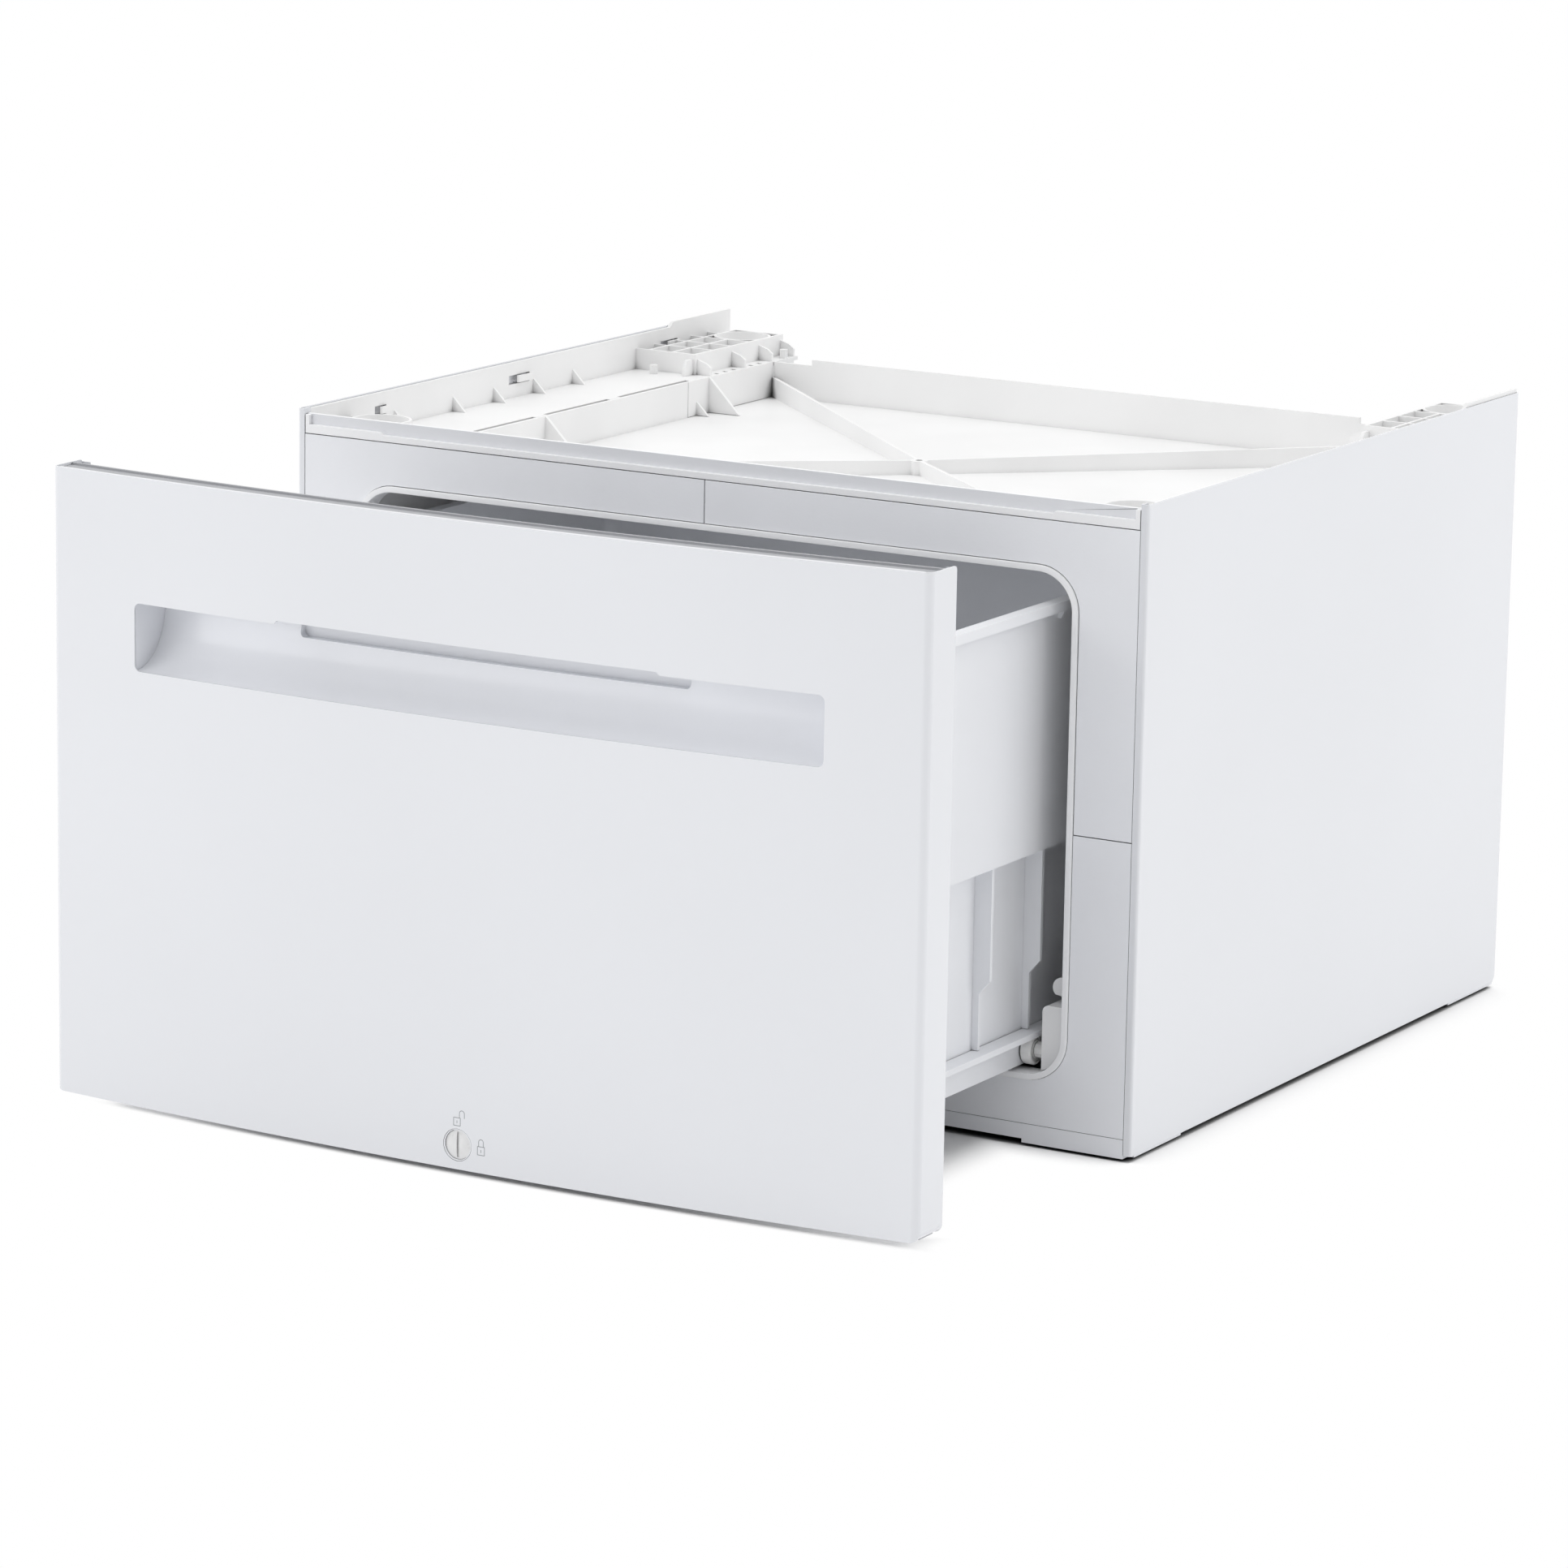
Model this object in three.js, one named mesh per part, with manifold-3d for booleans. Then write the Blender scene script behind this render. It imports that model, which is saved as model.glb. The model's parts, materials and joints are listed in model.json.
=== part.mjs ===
// Washer pedestal with a pull-out drawer: a low cabinet that a front-loading washer stands on.
// Millimetres. +X is the right-hand side seen from the front, +Y runs from front to rear, +Z is up.
// Every piece is modelled in the cabinet's own frame (x = 0 on the centre line, y = 0 at the front edge
// of the side panels, z = 0 on the ground), the drawer's pieces where they lie when it is shut.
// The last section hangs them in groups, pulls the drawer out and centres the whole.

import * as THREE from 'three';
import { mergeVertices } from 'three/addons/utils/BufferGeometryUtils.js';
import Module from 'manifold-3d';

// ---------- driving dimensions ----------

// Cabinet
const cabinetWidth = 598; // over both side panels
const cabinetDepth = 520; // side panels, front edge to rear edge
const sideHeight = 392; // side panels, bottom edge to top edge
const drawerOut = 227.4; // how far the drawer stands out of the cabinet

// Materials' thicknesses
const sheet = 1; // painted steel sheet
const wall = 2.5; // moulded wall
const rib = 2; // moulded rib

// Clearances
const fit = 0.3; // between pieces that are assembled face to face
const turnFit = 0.2; // radial play round an axle or shaft
const sideRun = 0.7; // sideways play between a roller and what carries it
const shadowGap = 0.5; // the dark joint between front mouldings

// Feet and base
const padRadius = 15;
const padProud = 2; // rubber below the skid
const padSeat = 2.5; // rubber inside the skid
const skidDrop = 2; // skid below the side panels
const skidLength = 68;
const baseLift = 0.4; // base strip above the lower edge of the side panels
const baseHeight = 9.3;
const baseRing = 62; // width of the ring on all four sides

// Side panels
const frontFlange = 5;
const frontLip = 7;
const rearFlange = 15;
const bendRadius = 2;
const cornerClip = 5; // clipped lower rear corner

// Front mouldings
const coverThickness = 2.5;
const coverBand = 27.4; // from the drawer opening to the base and to the top rail
const openingMargin = 44.3; // from the trim to the outside of the cabinet
const coverSplitHeight = 180; // side joint above the lower edge of the covers
const topSplitOffset = -2; // joint in the top band, from the centre line
const trimWidth = 3.7;
const trimRadius = 27;
const trimProud = 1.5;
const trimDepth = 16.5;
const trimEdge = 1.2; // rounding of the trim's rims

// Top rail
const railDrop = 3; // top of the rail below the side panels
const railHeight = 12.2;
const railPlate = 2.5;
const railLip = 5.5;
const railLipProud = 2.5;
const railLipDip = 1.6; // how much lower the lip is in the middle
const railDipHalf = 238; // half the length of the lower middle
const railDipRun = 2.5; // length of the slope down to it
const railEnd = 3;

// Side modules: shelves beside the deck, over the cavity walls
const shelfDrop = 24; // shelf below the top of the side panels
const shelfWidth = 55.7;
const moduleWallDrop = 1; // top of the outer wall below the side panels
const skirtDepth = 32; // outer wall below the shelf
const moduleRearGap = 4; // from the rear end of the module to the rear edge of the panels
const cavityRibCount = 4;
const cavityRibPitch = 78;
const deckSeat = 3.6; // ledge that carries the deck
const tabLength = 76;
const tabRise = 2.5; // tab above the side panels
const tabRamp = 5;
const windowHeight = 6;
const windowLift = 8.7; // sill above the shelf
const windowSpans = [[80, 93], [237, 262], [427, 449]];
const wallGussetHeight = 9.6;
const wallGussetPitch = 48.2;
const wallGussetStart = 171;
const wallGussetCount = 4;
const cornerGussetY = 103;

// Foot cups and rear grid block on the shelves
const cupRadius = 18;
const cupWall = 1.8;
const cupInset = 32; // cup centre from the outside of the cabinet
const frontCupY = 45;
const rearCupY = 488;
const cupHeight = 14;
const blockFront = 395;
const blockCellPitch = 23.8;
const blockCellRows = 3;
const blockWidth = 38;
const blockRearMargin = 3; // solid wall past the cup ring
const ledgeWidth = 6; // the rear ledge reaches this far past the shelf's edge
const ledgeStart = 372;
const seamY = 366; // where the deck's side wall ends and the module's begins
const finReach = 10.6;
const finBend = 3.5; // where the fin's top bends, from its tip
const finPositions = [398, 443, 479, 508];
const finRootHeight = 10.7;
const finTipHeight = 5.4;
const pegRadius = 2.8;
const frontPegInset = 7.5; // front peg outward from the cup
const pegHeight = 6;
const ledgeSlots = [408, 419, 430, 453, 464];
const ledgeSlotWidth = 3.2;
const clipPositions = [189, 279];
const clipLength = 13;

// Deck between the modules
const deckDrop = 24; // deck floor below the shelves
const slotWidth = 3.5; // open slot between deck wall and shelf edge
const deckFront = 42.5;
const deckRear = 480.5;
const crossRibHeight = 9;
const crossRibRise = 4.5; // how much higher the ribs stand in the corners
const hubRadius = 6;
const hubBore = 2.4;
const deckGussetY = 190;
const rearGussetY = 394;
const smallGussetY = 378;
const smallGussetSize = 9;
const rearWallRise = 4;
const rearWallStep = 30; // plain length of the rear wall at each end
const rearWallHalfTrim = 0.3;

// Rear
const crossmemberHeight = 60;
const crossmemberReach = 35;
const crossmemberLip = 15;
const pressDepth = 3;
const pressMargin = 40;
const pressRadius = 12;
const rearPanelDrop = 40; // top of the rear panel and rear flanges below the side panels
const rearScrewInset = 99; // from the outside of the cabinet
const screwRadius = 2;
const screwHead = 4;
const screwCrown = 3.2;
const screwHeadHeight = 0.9;
const screwLength = 6;

// Drawer front: bowed in plan, so its middle stands further out than its ends
const frontWidth = 596.2;
const frontDepth = 29.1; // ends of the face to the rear edge of the flanges
const frontSweep = 3150; // radius of the bow
const frontBottom = 13; // above the ground
const frontHeight = 381.6;
const frontStandoff = 0.4; // flange to cabinet when shut
const faceRadius = 5;
const flangeReturn = 7;
const flangeCorner = 8;
const hemDepth = 2.6;
const bottomReturn = 21;
const linerDepth = 20; // back of the liner behind the face
const linerTopDrop = 0.4;
const linerChannel = 8; // sunken top channel
const linerRibPitch = 96;

// Handle scoop
const scoopHalf = 235;
const scoopBottom = 278.8;
const scoopHeight = 41;
const scoopDepth = 32; // behind the face
const scoopWall = 2;
const scoopCorner = 4;
const scoopSteps = 8;
const scoopFlange = 8;
const fingerHalf = 133.5;
const fingerSill = 28.2; // sill above the scoop's lower edge
const fingerRise = 7.4; // finger pocket above the scoop
const fingerBack = 36; // back of the pocket behind the face
const fingerFront = 14; // front of the pocket's upper part behind the face
const fingerCorner = 3;
const browRise = 2; // the face is cut higher over the finger slot
const browHalf = 131;
const browSlope = 1.5;

// Lock
const lockX = 0;
const lockZ = 27.6;
const knobRadius = 8.8;
const knobRecess = 0.5;
const knobHeight = 4.4;
const knobDome = 1;
const knobShoulder = 5.4;
const knobShoulderDrop = 0.25;
const coinSlotWidth = 1.6;
const coinSlotDepth = 1.4;
const coinSlotHalf = 7.6;
const bushWall = 0.6;
const bushFlange = 3;
const shaftRadius = 2.6;
const boltHalf = 6.5; // half length of the cross bolt
const boltWidth = 4.4;
const boltThickness = 3;
const boltGap = 0.7; // play round the bolt in its slot and behind the strike
const strikeThickness = 1.5;
const strikeHalfWidth = 16;
const clipRadius = 5;
const clipThickness = 1;

// Drawer tub
const rimGap = 13; // rim to the inside of the trim
const rimReach = 6;
const rimHeight = 6;
const rimWall = 2;
const rimGussetY = 245;
const rimGussetDrop = 9; // below the rim
const tubTopGap = 19.2; // rim below the trim's upper inside
const tubStep = 14.1; // how much narrower the lower part is
const tubStepHeight = 181; // underside of the wide part above the ground
const tubKneeHeight = 262; // where the front wall steps back under the scoop
const tubFrontUpper = 6; // front wall behind the scoop
const tubRear = 488;
const tubCorner = 14;
const tubRibPitch = 62;
const tubRibFirst = 53;
const tubRibCount = 7;
const tubRibReach = 11.5;
const tubRibFoot = 4.5;
const tubRibTaperTop = 112;
const tubRibTaper = 8;
const frontScrewX = 150;
const frontScrewLow = 110;
const frontScrewHigh = 230;
const bossRadius = 6;

// Runners and rollers
const runnerWeb = 2;
const runnerLip = 4;
const runnerLipWall = 1.5;
const runnerDrop = 2.5; // runner's lower edge below the tub
const runnerClear = 2.4; // runner's lower edge above the trim
const rollerRadius = 9.6;
const rollerWidth = 7;
const rollerEdge = 1.2;
const rollerLift = 2.3; // roller above the trim
const axleRadius = 3;
const axleHead = 4.5;
const axleHeadLength = 1.5;
const axleCollar = 5;
const frontAxleY = 13;
const rearAxleInset = 18; // rear axle from the tub's rear wall
const rearRollerOffset = 17.8; // runner web to rear roller
const rearRollerWidth = 9;

// Cabinet rails, brackets and guides
const railChannelWall = 2;
const railChannelDepth = 19.3;
const railChannelStart = 42;
const railChannelEnd = 505;
const railHeadroom = 0.9; // over the rear roller
const bracketReach = 20.3; // from the cavity wall towards the drawer
const bracketFront = 5;
const bracketRear = 40;
const bracketHeight = 41.5;
const bracketCorner = 4;
const bracketFoot = 4;
const bracketFootHeight = 6.5;
const guideHeight = 12.5;
const guideLift = 3; // above the bracket
const guideReach = 19.3;
const guideLength = 16;

// ---------- derived places ----------

const half = cabinetWidth / 2;
const panelInner = half - sheet;
const skidBottom = padProud;
const panelBottom = skidBottom + skidDrop;
const panelTop = panelBottom + sideHeight;
const baseBottom = panelBottom + baseLift;
const baseTop = baseBottom + baseHeight;
const coverHalf = half - frontFlange - fit;
const coverBottom = baseTop + fit;
const railTop = panelTop - railDrop;
const railBottom = railTop - railHeight;
const coverTop = railBottom - shadowGap;
const trimHalf = half - openingMargin;
const trimBottom = coverBottom + coverBand;
const trimTop = railBottom - coverBand;
const trimInnerHalf = trimHalf - trimWidth;
const trimInnerBottom = trimBottom + trimWidth;
const trimInnerTop = trimTop - trimWidth;
const coverSplit = coverBottom + coverSplitHeight;
const behindTrim = trimDepth - trimProud + fit;
const cavityWall = trimHalf + 3 * fit;

const moduleOuter = panelInner - fit;
const moduleBottom = baseTop + fit;
const moduleFrontWall = coverThickness + fit;
const moduleRear = cabinetDepth - moduleRearGap;
const shelfTop = panelTop - shelfDrop;
const shelfEdge = moduleOuter - shelfWidth;
const shelfUnder = shelfTop - wall;
const outerWallInner = moduleOuter - wall;
const deckTop = shelfTop - deckDrop;
const deckUnder = deckTop - wall;
const deckHalf = shelfEdge - slotWidth;
const deckWallInner = deckHalf - wall;
const cupX = half - cupInset;
const cupOuter = cupRadius + cupWall;
const blockInner = cupX - blockWidth / 2;
const blockOuter = cupX + blockWidth / 2;
const blockRear = rearCupY + cupOuter;

const rearPanelRear = cabinetDepth - sheet - fit;
const rearPanelFront = rearPanelRear - sheet;
const rearPanelTop = panelTop - rearPanelDrop;
const crossmemberTop = rearPanelTop;
const crossmemberRear = rearPanelFront - fit;
const rearScrewTop = crossmemberTop - crossmemberHeight / 2;
const rearScrewX = half - rearScrewInset;
const rearScrewBottom = (baseBottom + baseTop) / 2;

const frontHalf = frontWidth / 2;
const flangeEnd = -frontStandoff;
const faceEnds = flangeEnd - frontDepth;
const sweepSag = (x) => frontSweep - Math.sqrt(frontSweep ** 2 - x ** 2);
const faceY = faceEnds - sweepSag(frontHalf - faceRadius); // the face at the centre line
const faceAt = (x) => faceY + sweepSag(x);
const frontTop = frontBottom + frontHeight;
const linerFront = sheet + fit; // behind the face, like the next depth
const linerRear = linerDepth;
const tubFront = faceAt(trimHalf) + linerRear + fit;

const runnerBottom = trimInnerBottom + runnerClear;
const rollerZ = trimInnerBottom + rollerLift + rollerRadius;
const runnerUnder = rollerZ + rollerRadius + fit;
const runnerTop = runnerUnder + runnerWeb;
const rimOuter = trimInnerHalf - rimGap;
const tubHalf = rimOuter - rimReach;
const tubLowerHalf = tubHalf - tubStep;
const tubBottom = runnerBottom + runnerDrop;
const tubTop = trimInnerTop - tubTopGap;
const webInner = tubLowerHalf + fit;
const webOuter = webInner + runnerWeb;
const rollerInner = webOuter + sideRun;
const rollerOuter = rollerInner + rollerWidth;
const runnerLipInner = rollerOuter + fit;
const runnerEnd = tubRear - 2 * runnerLip;
const channelBottom = runnerBottom;
const rearRollerZ = channelBottom + railChannelWall + fit + rollerRadius;
const channelUnderTop = rearRollerZ + rollerRadius + railHeadroom;
const rearAxleY = tubRear - rearAxleInset;
const rearRollerInner = webOuter + rearRollerOffset;
const bracketInner = cavityWall - fit - bracketReach;
const bracketBottom = trimInnerBottom + fit;
const bracketTop = bracketBottom + bracketHeight;

// ---------- solids: three.js shapes, joined and cut ----------

const wasm = await Module();
wasm.setup();

const FINE = 18; // facets round a full turn of a roller, cup, foot pad or lock part
const SMALL = 10; // facets round an axle, screw, boss or screw hole
const TINY = 8; // facets round a peg or hub
const ARC = 5; // facets in a quarter turn of a wide corner
const BEND = 3; // facets in a quarter turn of a narrow corner
const SLOT = 2; // facets in a quarter turn of a slot's corner
const PAST = 1; // how far a cutting body runs past the face it cuts

function solidOf(geometry) {
  geometry.deleteAttribute('normal');
  geometry.deleteAttribute('uv');
  const merged = mergeVertices(geometry, 1e-4);
  const vertProperties = new Float32Array(merged.attributes.position.array);
  const triVerts = new Uint32Array(merged.index.array);
  return new wasm.Manifold(new wasm.Mesh({ numProp: 3, vertProperties, triVerts }));
}

function geometryOf(solid) {
  const mesh = solid.getMesh();
  const geometry = new THREE.BufferGeometry();
  geometry.setAttribute('position', new THREE.BufferAttribute(mesh.vertProperties, 3));
  geometry.setIndex(new THREE.BufferAttribute(mesh.triVerts, 1));
  geometry.computeVertexNormals();
  return geometry;
}

function join(...solids) {
  return solids.reduce((whole, solid) => whole.add(solid));
}

function cut(body, ...tools) {
  return tools.reduce((rest, tool) => rest.subtract(tool), body);
}

function box([x0, x1], [y0, y1], [z0, z1]) {
  const geometry = new THREE.BoxGeometry(x1 - x0, y1 - y0, z1 - z0);
  geometry.translate((x0 + x1) / 2, (y0 + y1) / 2, (z0 + z1) / 2);
  return solidOf(geometry);
}

function outline(points) {
  return new THREE.Shape(points.map(([u, v]) => new THREE.Vector2(u, v)));
}

function roundedRectangle([u0, u1], [v0, v1], radius) {
  const shape = new THREE.Shape();
  shape.moveTo(u0 + radius, v0);
  shape.absarc(u1 - radius, v0 + radius, radius, -Math.PI / 2, 0, false);
  shape.absarc(u1 - radius, v1 - radius, radius, 0, Math.PI / 2, false);
  shape.absarc(u0 + radius, v1 - radius, radius, Math.PI / 2, Math.PI, false);
  shape.absarc(u0 + radius, v0 + radius, radius, Math.PI, 1.5 * Math.PI, false);
  return shape;
}

function extruded(shape, length, curveSegments) {
  return new THREE.ExtrudeGeometry(shape, { depth: length, bevelEnabled: false, curveSegments });
}

// A shape drawn in x and y, standing from one height to another.
function alongZ(shape, [z0, z1], curveSegments = ARC) {
  return solidOf(extruded(shape, z1 - z0, curveSegments).translate(0, 0, z0));
}

// A shape drawn in x and z, running from one y to another.
function alongY(shape, [y0, y1], curveSegments = ARC) {
  return solidOf(extruded(shape, y1 - y0, curveSegments).rotateX(Math.PI / 2).translate(0, y1, 0));
}

// A shape drawn in y and z, running from one x to another.
const yzToX = new THREE.Matrix4().makeBasis(
  new THREE.Vector3(0, 1, 0),
  new THREE.Vector3(0, 0, 1),
  new THREE.Vector3(1, 0, 0),
);

function alongX(shape, [x0, x1], curveSegments = ARC) {
  return solidOf(extruded(shape, x1 - x0, curveSegments).applyMatrix4(yzToX).translate(x0, 0, 0));
}

// A turned part: [radius, place along the axis] pairs from one end of the axis to the other.
function turned(profile, facets = FINE) {
  return new THREE.LatheGeometry(profile.map(([r, a]) => new THREE.Vector2(r, a)), facets);
}

function turnedZ(profile, [x, y, z], facets) {
  return solidOf(turned(profile, facets).rotateX(Math.PI / 2).translate(x, y, z));
}

function turnedY(profile, [x, y, z], facets) {
  return solidOf(turned(profile, facets).translate(x, y, z));
}

function turnedX(profile, [x, y, z], facets) {
  return solidOf(turned(profile, facets).rotateZ(-Math.PI / 2).translate(x, y, z));
}

function rod(radius, [a0, a1]) {
  return [[0, a0], [radius, a0], [radius, a1], [0, a1]];
}

function ring(inner, outer, [a0, a1]) {
  return [[inner, a0], [outer, a0], [outer, a1], [inner, a1], [inner, a0]];
}

// The same piece on the other side of the centre line.
function mirrored(geometry) {
  const copy = geometry.clone().scale(-1, 1, 1);
  const index = copy.index.array;
  for (let i = 0; i < index.length; i += 3) {
    [index[i], index[i + 1]] = [index[i + 1], index[i]];
  }
  copy.computeVertexNormals();
  return copy;
}

function both(solid) {
  return join(solid, solidOf(mirrored(geometryOf(solid))));
}

// ---------- cabinet sheet metal ----------

function sidePanel() {
  const inside = bendRadius - sheet;
  const front = [half - bendRadius, bendRadius];
  const rear = [half - bendRadius, cabinetDepth - bendRadius];
  const plan = new THREE.Shape();
  plan.moveTo(half, bendRadius);
  plan.absarc(...rear, bendRadius, 0, Math.PI / 2, false);
  plan.lineTo(half - rearFlange, cabinetDepth);
  plan.lineTo(half - rearFlange, cabinetDepth - sheet);
  plan.absarc(...rear, inside, Math.PI / 2, 0, true);
  plan.absarc(...front, inside, 0, -Math.PI / 2, true);
  plan.lineTo(half - frontFlange + sheet, sheet);
  plan.lineTo(half - frontFlange + sheet, frontLip);
  plan.lineTo(half - frontFlange, frontLip);
  plan.lineTo(half - frontFlange, 0);
  plan.absarc(...front, bendRadius, -Math.PI / 2, 0, false);
  const clip = outline([
    [cabinetDepth - cornerClip, panelBottom - PAST],
    [cabinetDepth + PAST, panelBottom - PAST],
    [cabinetDepth + PAST, panelBottom + cornerClip],
    [cabinetDepth, panelBottom + cornerClip],
    [cabinetDepth - cornerClip, panelBottom],
  ]);
  const clipper = alongX(clip, [half - rearFlange - PAST, half + PAST]);
  const aboveRear = box(
    [half - rearFlange - PAST, half - bendRadius],
    [cabinetDepth - bendRadius, cabinetDepth + PAST],
    [rearPanelTop, panelTop + PAST],
  );
  return cut(alongZ(plan, [panelBottom, panelTop], BEND), clipper, aboveRear);
}

function rearPanel() {
  const width = outerWallInner - fit;
  const bottom = baseBottom + fit;
  const field = [-width + 2 * pressMargin, width - 2 * pressMargin];
  const height = [bottom + pressMargin, rearPanelTop - crossmemberHeight - pressMargin / 2];
  const plate = box([-width, width], [rearPanelFront, rearPanelRear], [bottom, rearPanelTop]);
  const pressed = alongY(
    roundedRectangle(field, height, pressRadius),
    [rearPanelFront - pressDepth, rearPanelRear],
    BEND,
  );
  const hollow = alongY(
    roundedRectangle(
      [field[0] + sheet, field[1] - sheet],
      [height[0] + sheet, height[1] - sheet],
      pressRadius - sheet,
    ),
    [rearPanelFront - pressDepth + sheet, rearPanelRear + PAST],
    BEND,
  );
  return cut(join(plate, pressed), hollow, ...rearScrewHoles([rearPanelFront - PAST, rearPanelRear + PAST]));
}

const rearScrewPlaces = [
  ['top_left', -rearScrewX, rearScrewTop],
  ['top_right', rearScrewX, rearScrewTop],
  ['bottom_left', -rearScrewX, rearScrewBottom],
  ['bottom_right', rearScrewX, rearScrewBottom],
];

function rearScrewHoles(span) {
  return rearScrewPlaces.map(([, x, z]) => turnedY(rod(screwRadius + turnFit, span), [x, 0, z], SMALL));
}

function screw(headAt, towards) {
  const profile = [
    [0, headAt - towards * screwLength],
    [screwRadius, headAt - towards * screwLength],
    [screwRadius, headAt],
    [screwHead, headAt],
    [screwCrown, headAt + towards * screwHeadHeight],
    [0, headAt + towards * screwHeadHeight],
  ];
  return towards > 0 ? profile : profile.reverse();
}

function rearCrossmember() {
  const web = crossmemberRear - sheet;
  const front = crossmemberRear - crossmemberReach;
  const bottom = crossmemberTop - crossmemberHeight;
  const section = outline([
    [crossmemberRear, bottom],
    [crossmemberRear, crossmemberTop],
    [front, crossmemberTop],
    [front, crossmemberTop - crossmemberLip],
    [front + sheet, crossmemberTop - crossmemberLip],
    [front + sheet, crossmemberTop - sheet],
    [web, crossmemberTop - sheet],
    [web, bottom + sheet],
    [web - crossmemberLip, bottom + sheet],
    [web - crossmemberLip, bottom],
  ]);
  const channel = alongX(section, [-shelfEdge + fit, shelfEdge - fit]);
  return cut(channel, ...rearScrewHoles([web - PAST, crossmemberRear + PAST]).slice(0, 2));
}

// ---------- base and feet ----------

const padPlaces = [
  ['front_left', -1, false],
  ['front_right', 1, false],
  ['rear_left', -1, true],
  ['rear_right', 1, true],
].map(([name, side, atRear]) => [
  name,
  side * (coverHalf - skidLength / 2),
  atRear ? crossmemberRear - skidLength / 2 : skidLength / 2,
]);

function baseOutline() {
  const rear = crossmemberRear;
  const notch = frontLip + fit;
  return outline([
    [-coverHalf, 0], [coverHalf, 0], [coverHalf, notch], [moduleOuter, notch], [moduleOuter, rear],
    [-moduleOuter, rear], [-moduleOuter, notch], [-coverHalf, notch],
  ]);
}

function baseFrame() {
  const rear = crossmemberRear;
  const plan = baseOutline();
  plan.holes.push(roundedRectangle(
    [-moduleOuter + baseRing, moduleOuter - baseRing],
    [baseRing, rear - baseRing],
    padRadius,
  ));
  const skids = both(join(
    box([coverHalf - skidLength, half], [-PAST, skidLength], [skidBottom, baseTop]),
    box([coverHalf - skidLength, half], [rear - skidLength, rear + PAST], [skidBottom, baseTop]),
  ));
  const blocks = alongZ(baseOutline(), [skidBottom, baseTop]).intersect(skids);
  const under = [baseBottom - PAST, baseTop - wall];
  const bayX = [-coverHalf + skidLength, coverHalf - skidLength];
  const bayY = [skidLength, rear - skidLength];
  const bays = [
    box(bayX, [wall, baseRing - wall], under),
    box(bayX, [rear - baseRing + wall, rear - wall], under),
    box([-moduleOuter + wall, -moduleOuter + baseRing - wall], bayY, under),
    box([moduleOuter - baseRing + wall, moduleOuter - wall], bayY, under),
  ];
  const pockets = padPlaces.map(([, x, y]) =>
    turnedZ(rod(padRadius + fit, [skidBottom - PAST, skidBottom + padSeat + fit]), [x, y, 0]));
  const frame = join(cut(alongZ(plan, [baseBottom, baseTop]), ...bays), blocks);
  const screwHoles = rearScrewHoles([rear - wall - PAST, rear + PAST]).slice(2);
  return cut(frame, ...pockets, ...screwHoles);
}

function footPad() {
  const top = padProud + padSeat;
  const profile = [[0, 0], [padRadius - 1, 0], [padRadius, 1], [padRadius, top], [0, top]];
  return turned(profile).rotateX(Math.PI / 2);
}

// ---------- front mouldings ----------

// The covers meet the trim along its rounded outline, kept clear by the fit.
const openHalf = trimHalf + fit;
const openBottom = trimBottom - fit;
const openTop = trimTop + fit;
const openRadius = trimRadius + fit;

function upperCover(side) {
  const outer = side * coverHalf;
  const joint = topSplitOffset + side * shadowGap / 2;
  const shape = new THREE.Shape();
  shape.moveTo(outer, coverSplit + shadowGap / 2);
  shape.lineTo(outer, coverTop);
  shape.lineTo(joint, coverTop);
  shape.lineTo(joint, openTop);
  const start = Math.PI / 2;
  const end = side > 0 ? 0 : Math.PI;
  shape.absarc(side * (openHalf - openRadius), openTop - openRadius, openRadius, start, end, side > 0);
  shape.lineTo(side * openHalf, coverSplit + shadowGap / 2);
  return alongY(shape, [0, coverThickness]);
}

function lowerCover() {
  const top = coverSplit - shadowGap / 2;
  const shape = new THREE.Shape();
  shape.moveTo(-coverHalf, coverBottom);
  shape.lineTo(coverHalf, coverBottom);
  shape.lineTo(coverHalf, top);
  shape.lineTo(openHalf, top);
  shape.absarc(openHalf - openRadius, openBottom + openRadius, openRadius, 0, -Math.PI / 2, true);
  shape.absarc(-openHalf + openRadius, openBottom + openRadius, openRadius, -Math.PI / 2, -Math.PI, true);
  shape.lineTo(-openHalf, top);
  shape.lineTo(-coverHalf, top);
  return cut(alongY(shape, [0, coverThickness]), boltSlot([-PAST, coverThickness + PAST]));
}

function openingTrim() {
  const shape = roundedRectangle([-trimHalf, trimHalf], [trimBottom, trimTop], trimRadius);
  shape.holes.push(roundedRectangle(
    [-trimInnerHalf, trimInnerHalf],
    [trimInnerBottom, trimInnerTop],
    trimRadius - trimWidth,
  ));
  const geometry = new THREE.ExtrudeGeometry(shape, {
    depth: trimDepth - 2 * trimEdge,
    bevelThickness: trimEdge,
    bevelSize: trimEdge,
    bevelOffset: -trimEdge,
    bevelSegments: 1,
    curveSegments: ARC,
  });
  return solidOf(geometry.rotateX(Math.PI / 2).translate(0, trimDepth - trimProud - trimEdge, 0));
}

function frontTopRail() {
  const outer = half - frontFlange - 2 * fit;
  const lipTop = railBottom + railLip;
  const endTop = railTop - shadowGap;
  const right = [
    [railDipHalf - railDipRun, lipTop - railLipDip], [railDipHalf, lipTop], [outer - railEnd, lipTop],
    [outer - railEnd, endTop], [outer, endTop], [outer, railBottom],
  ];
  const left = right.map(([x, z]) => [-x, z]).reverse();
  const lip = alongY(outline([...left, ...right].reverse()), [0, railLipProud + fit]);
  const plate = box([-outer, outer], [railLipProud, railLipProud + railPlate], [railBottom, railTop]);
  const flange = box([-deckHalf, deckHalf], [railLipProud, deckFront - fit], [railBottom, railBottom + wall]);
  return join(lip, plate, flange);
}

// ---------- side modules: the mouldings that carry the washer's feet, the deck and the rails ----------

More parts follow.
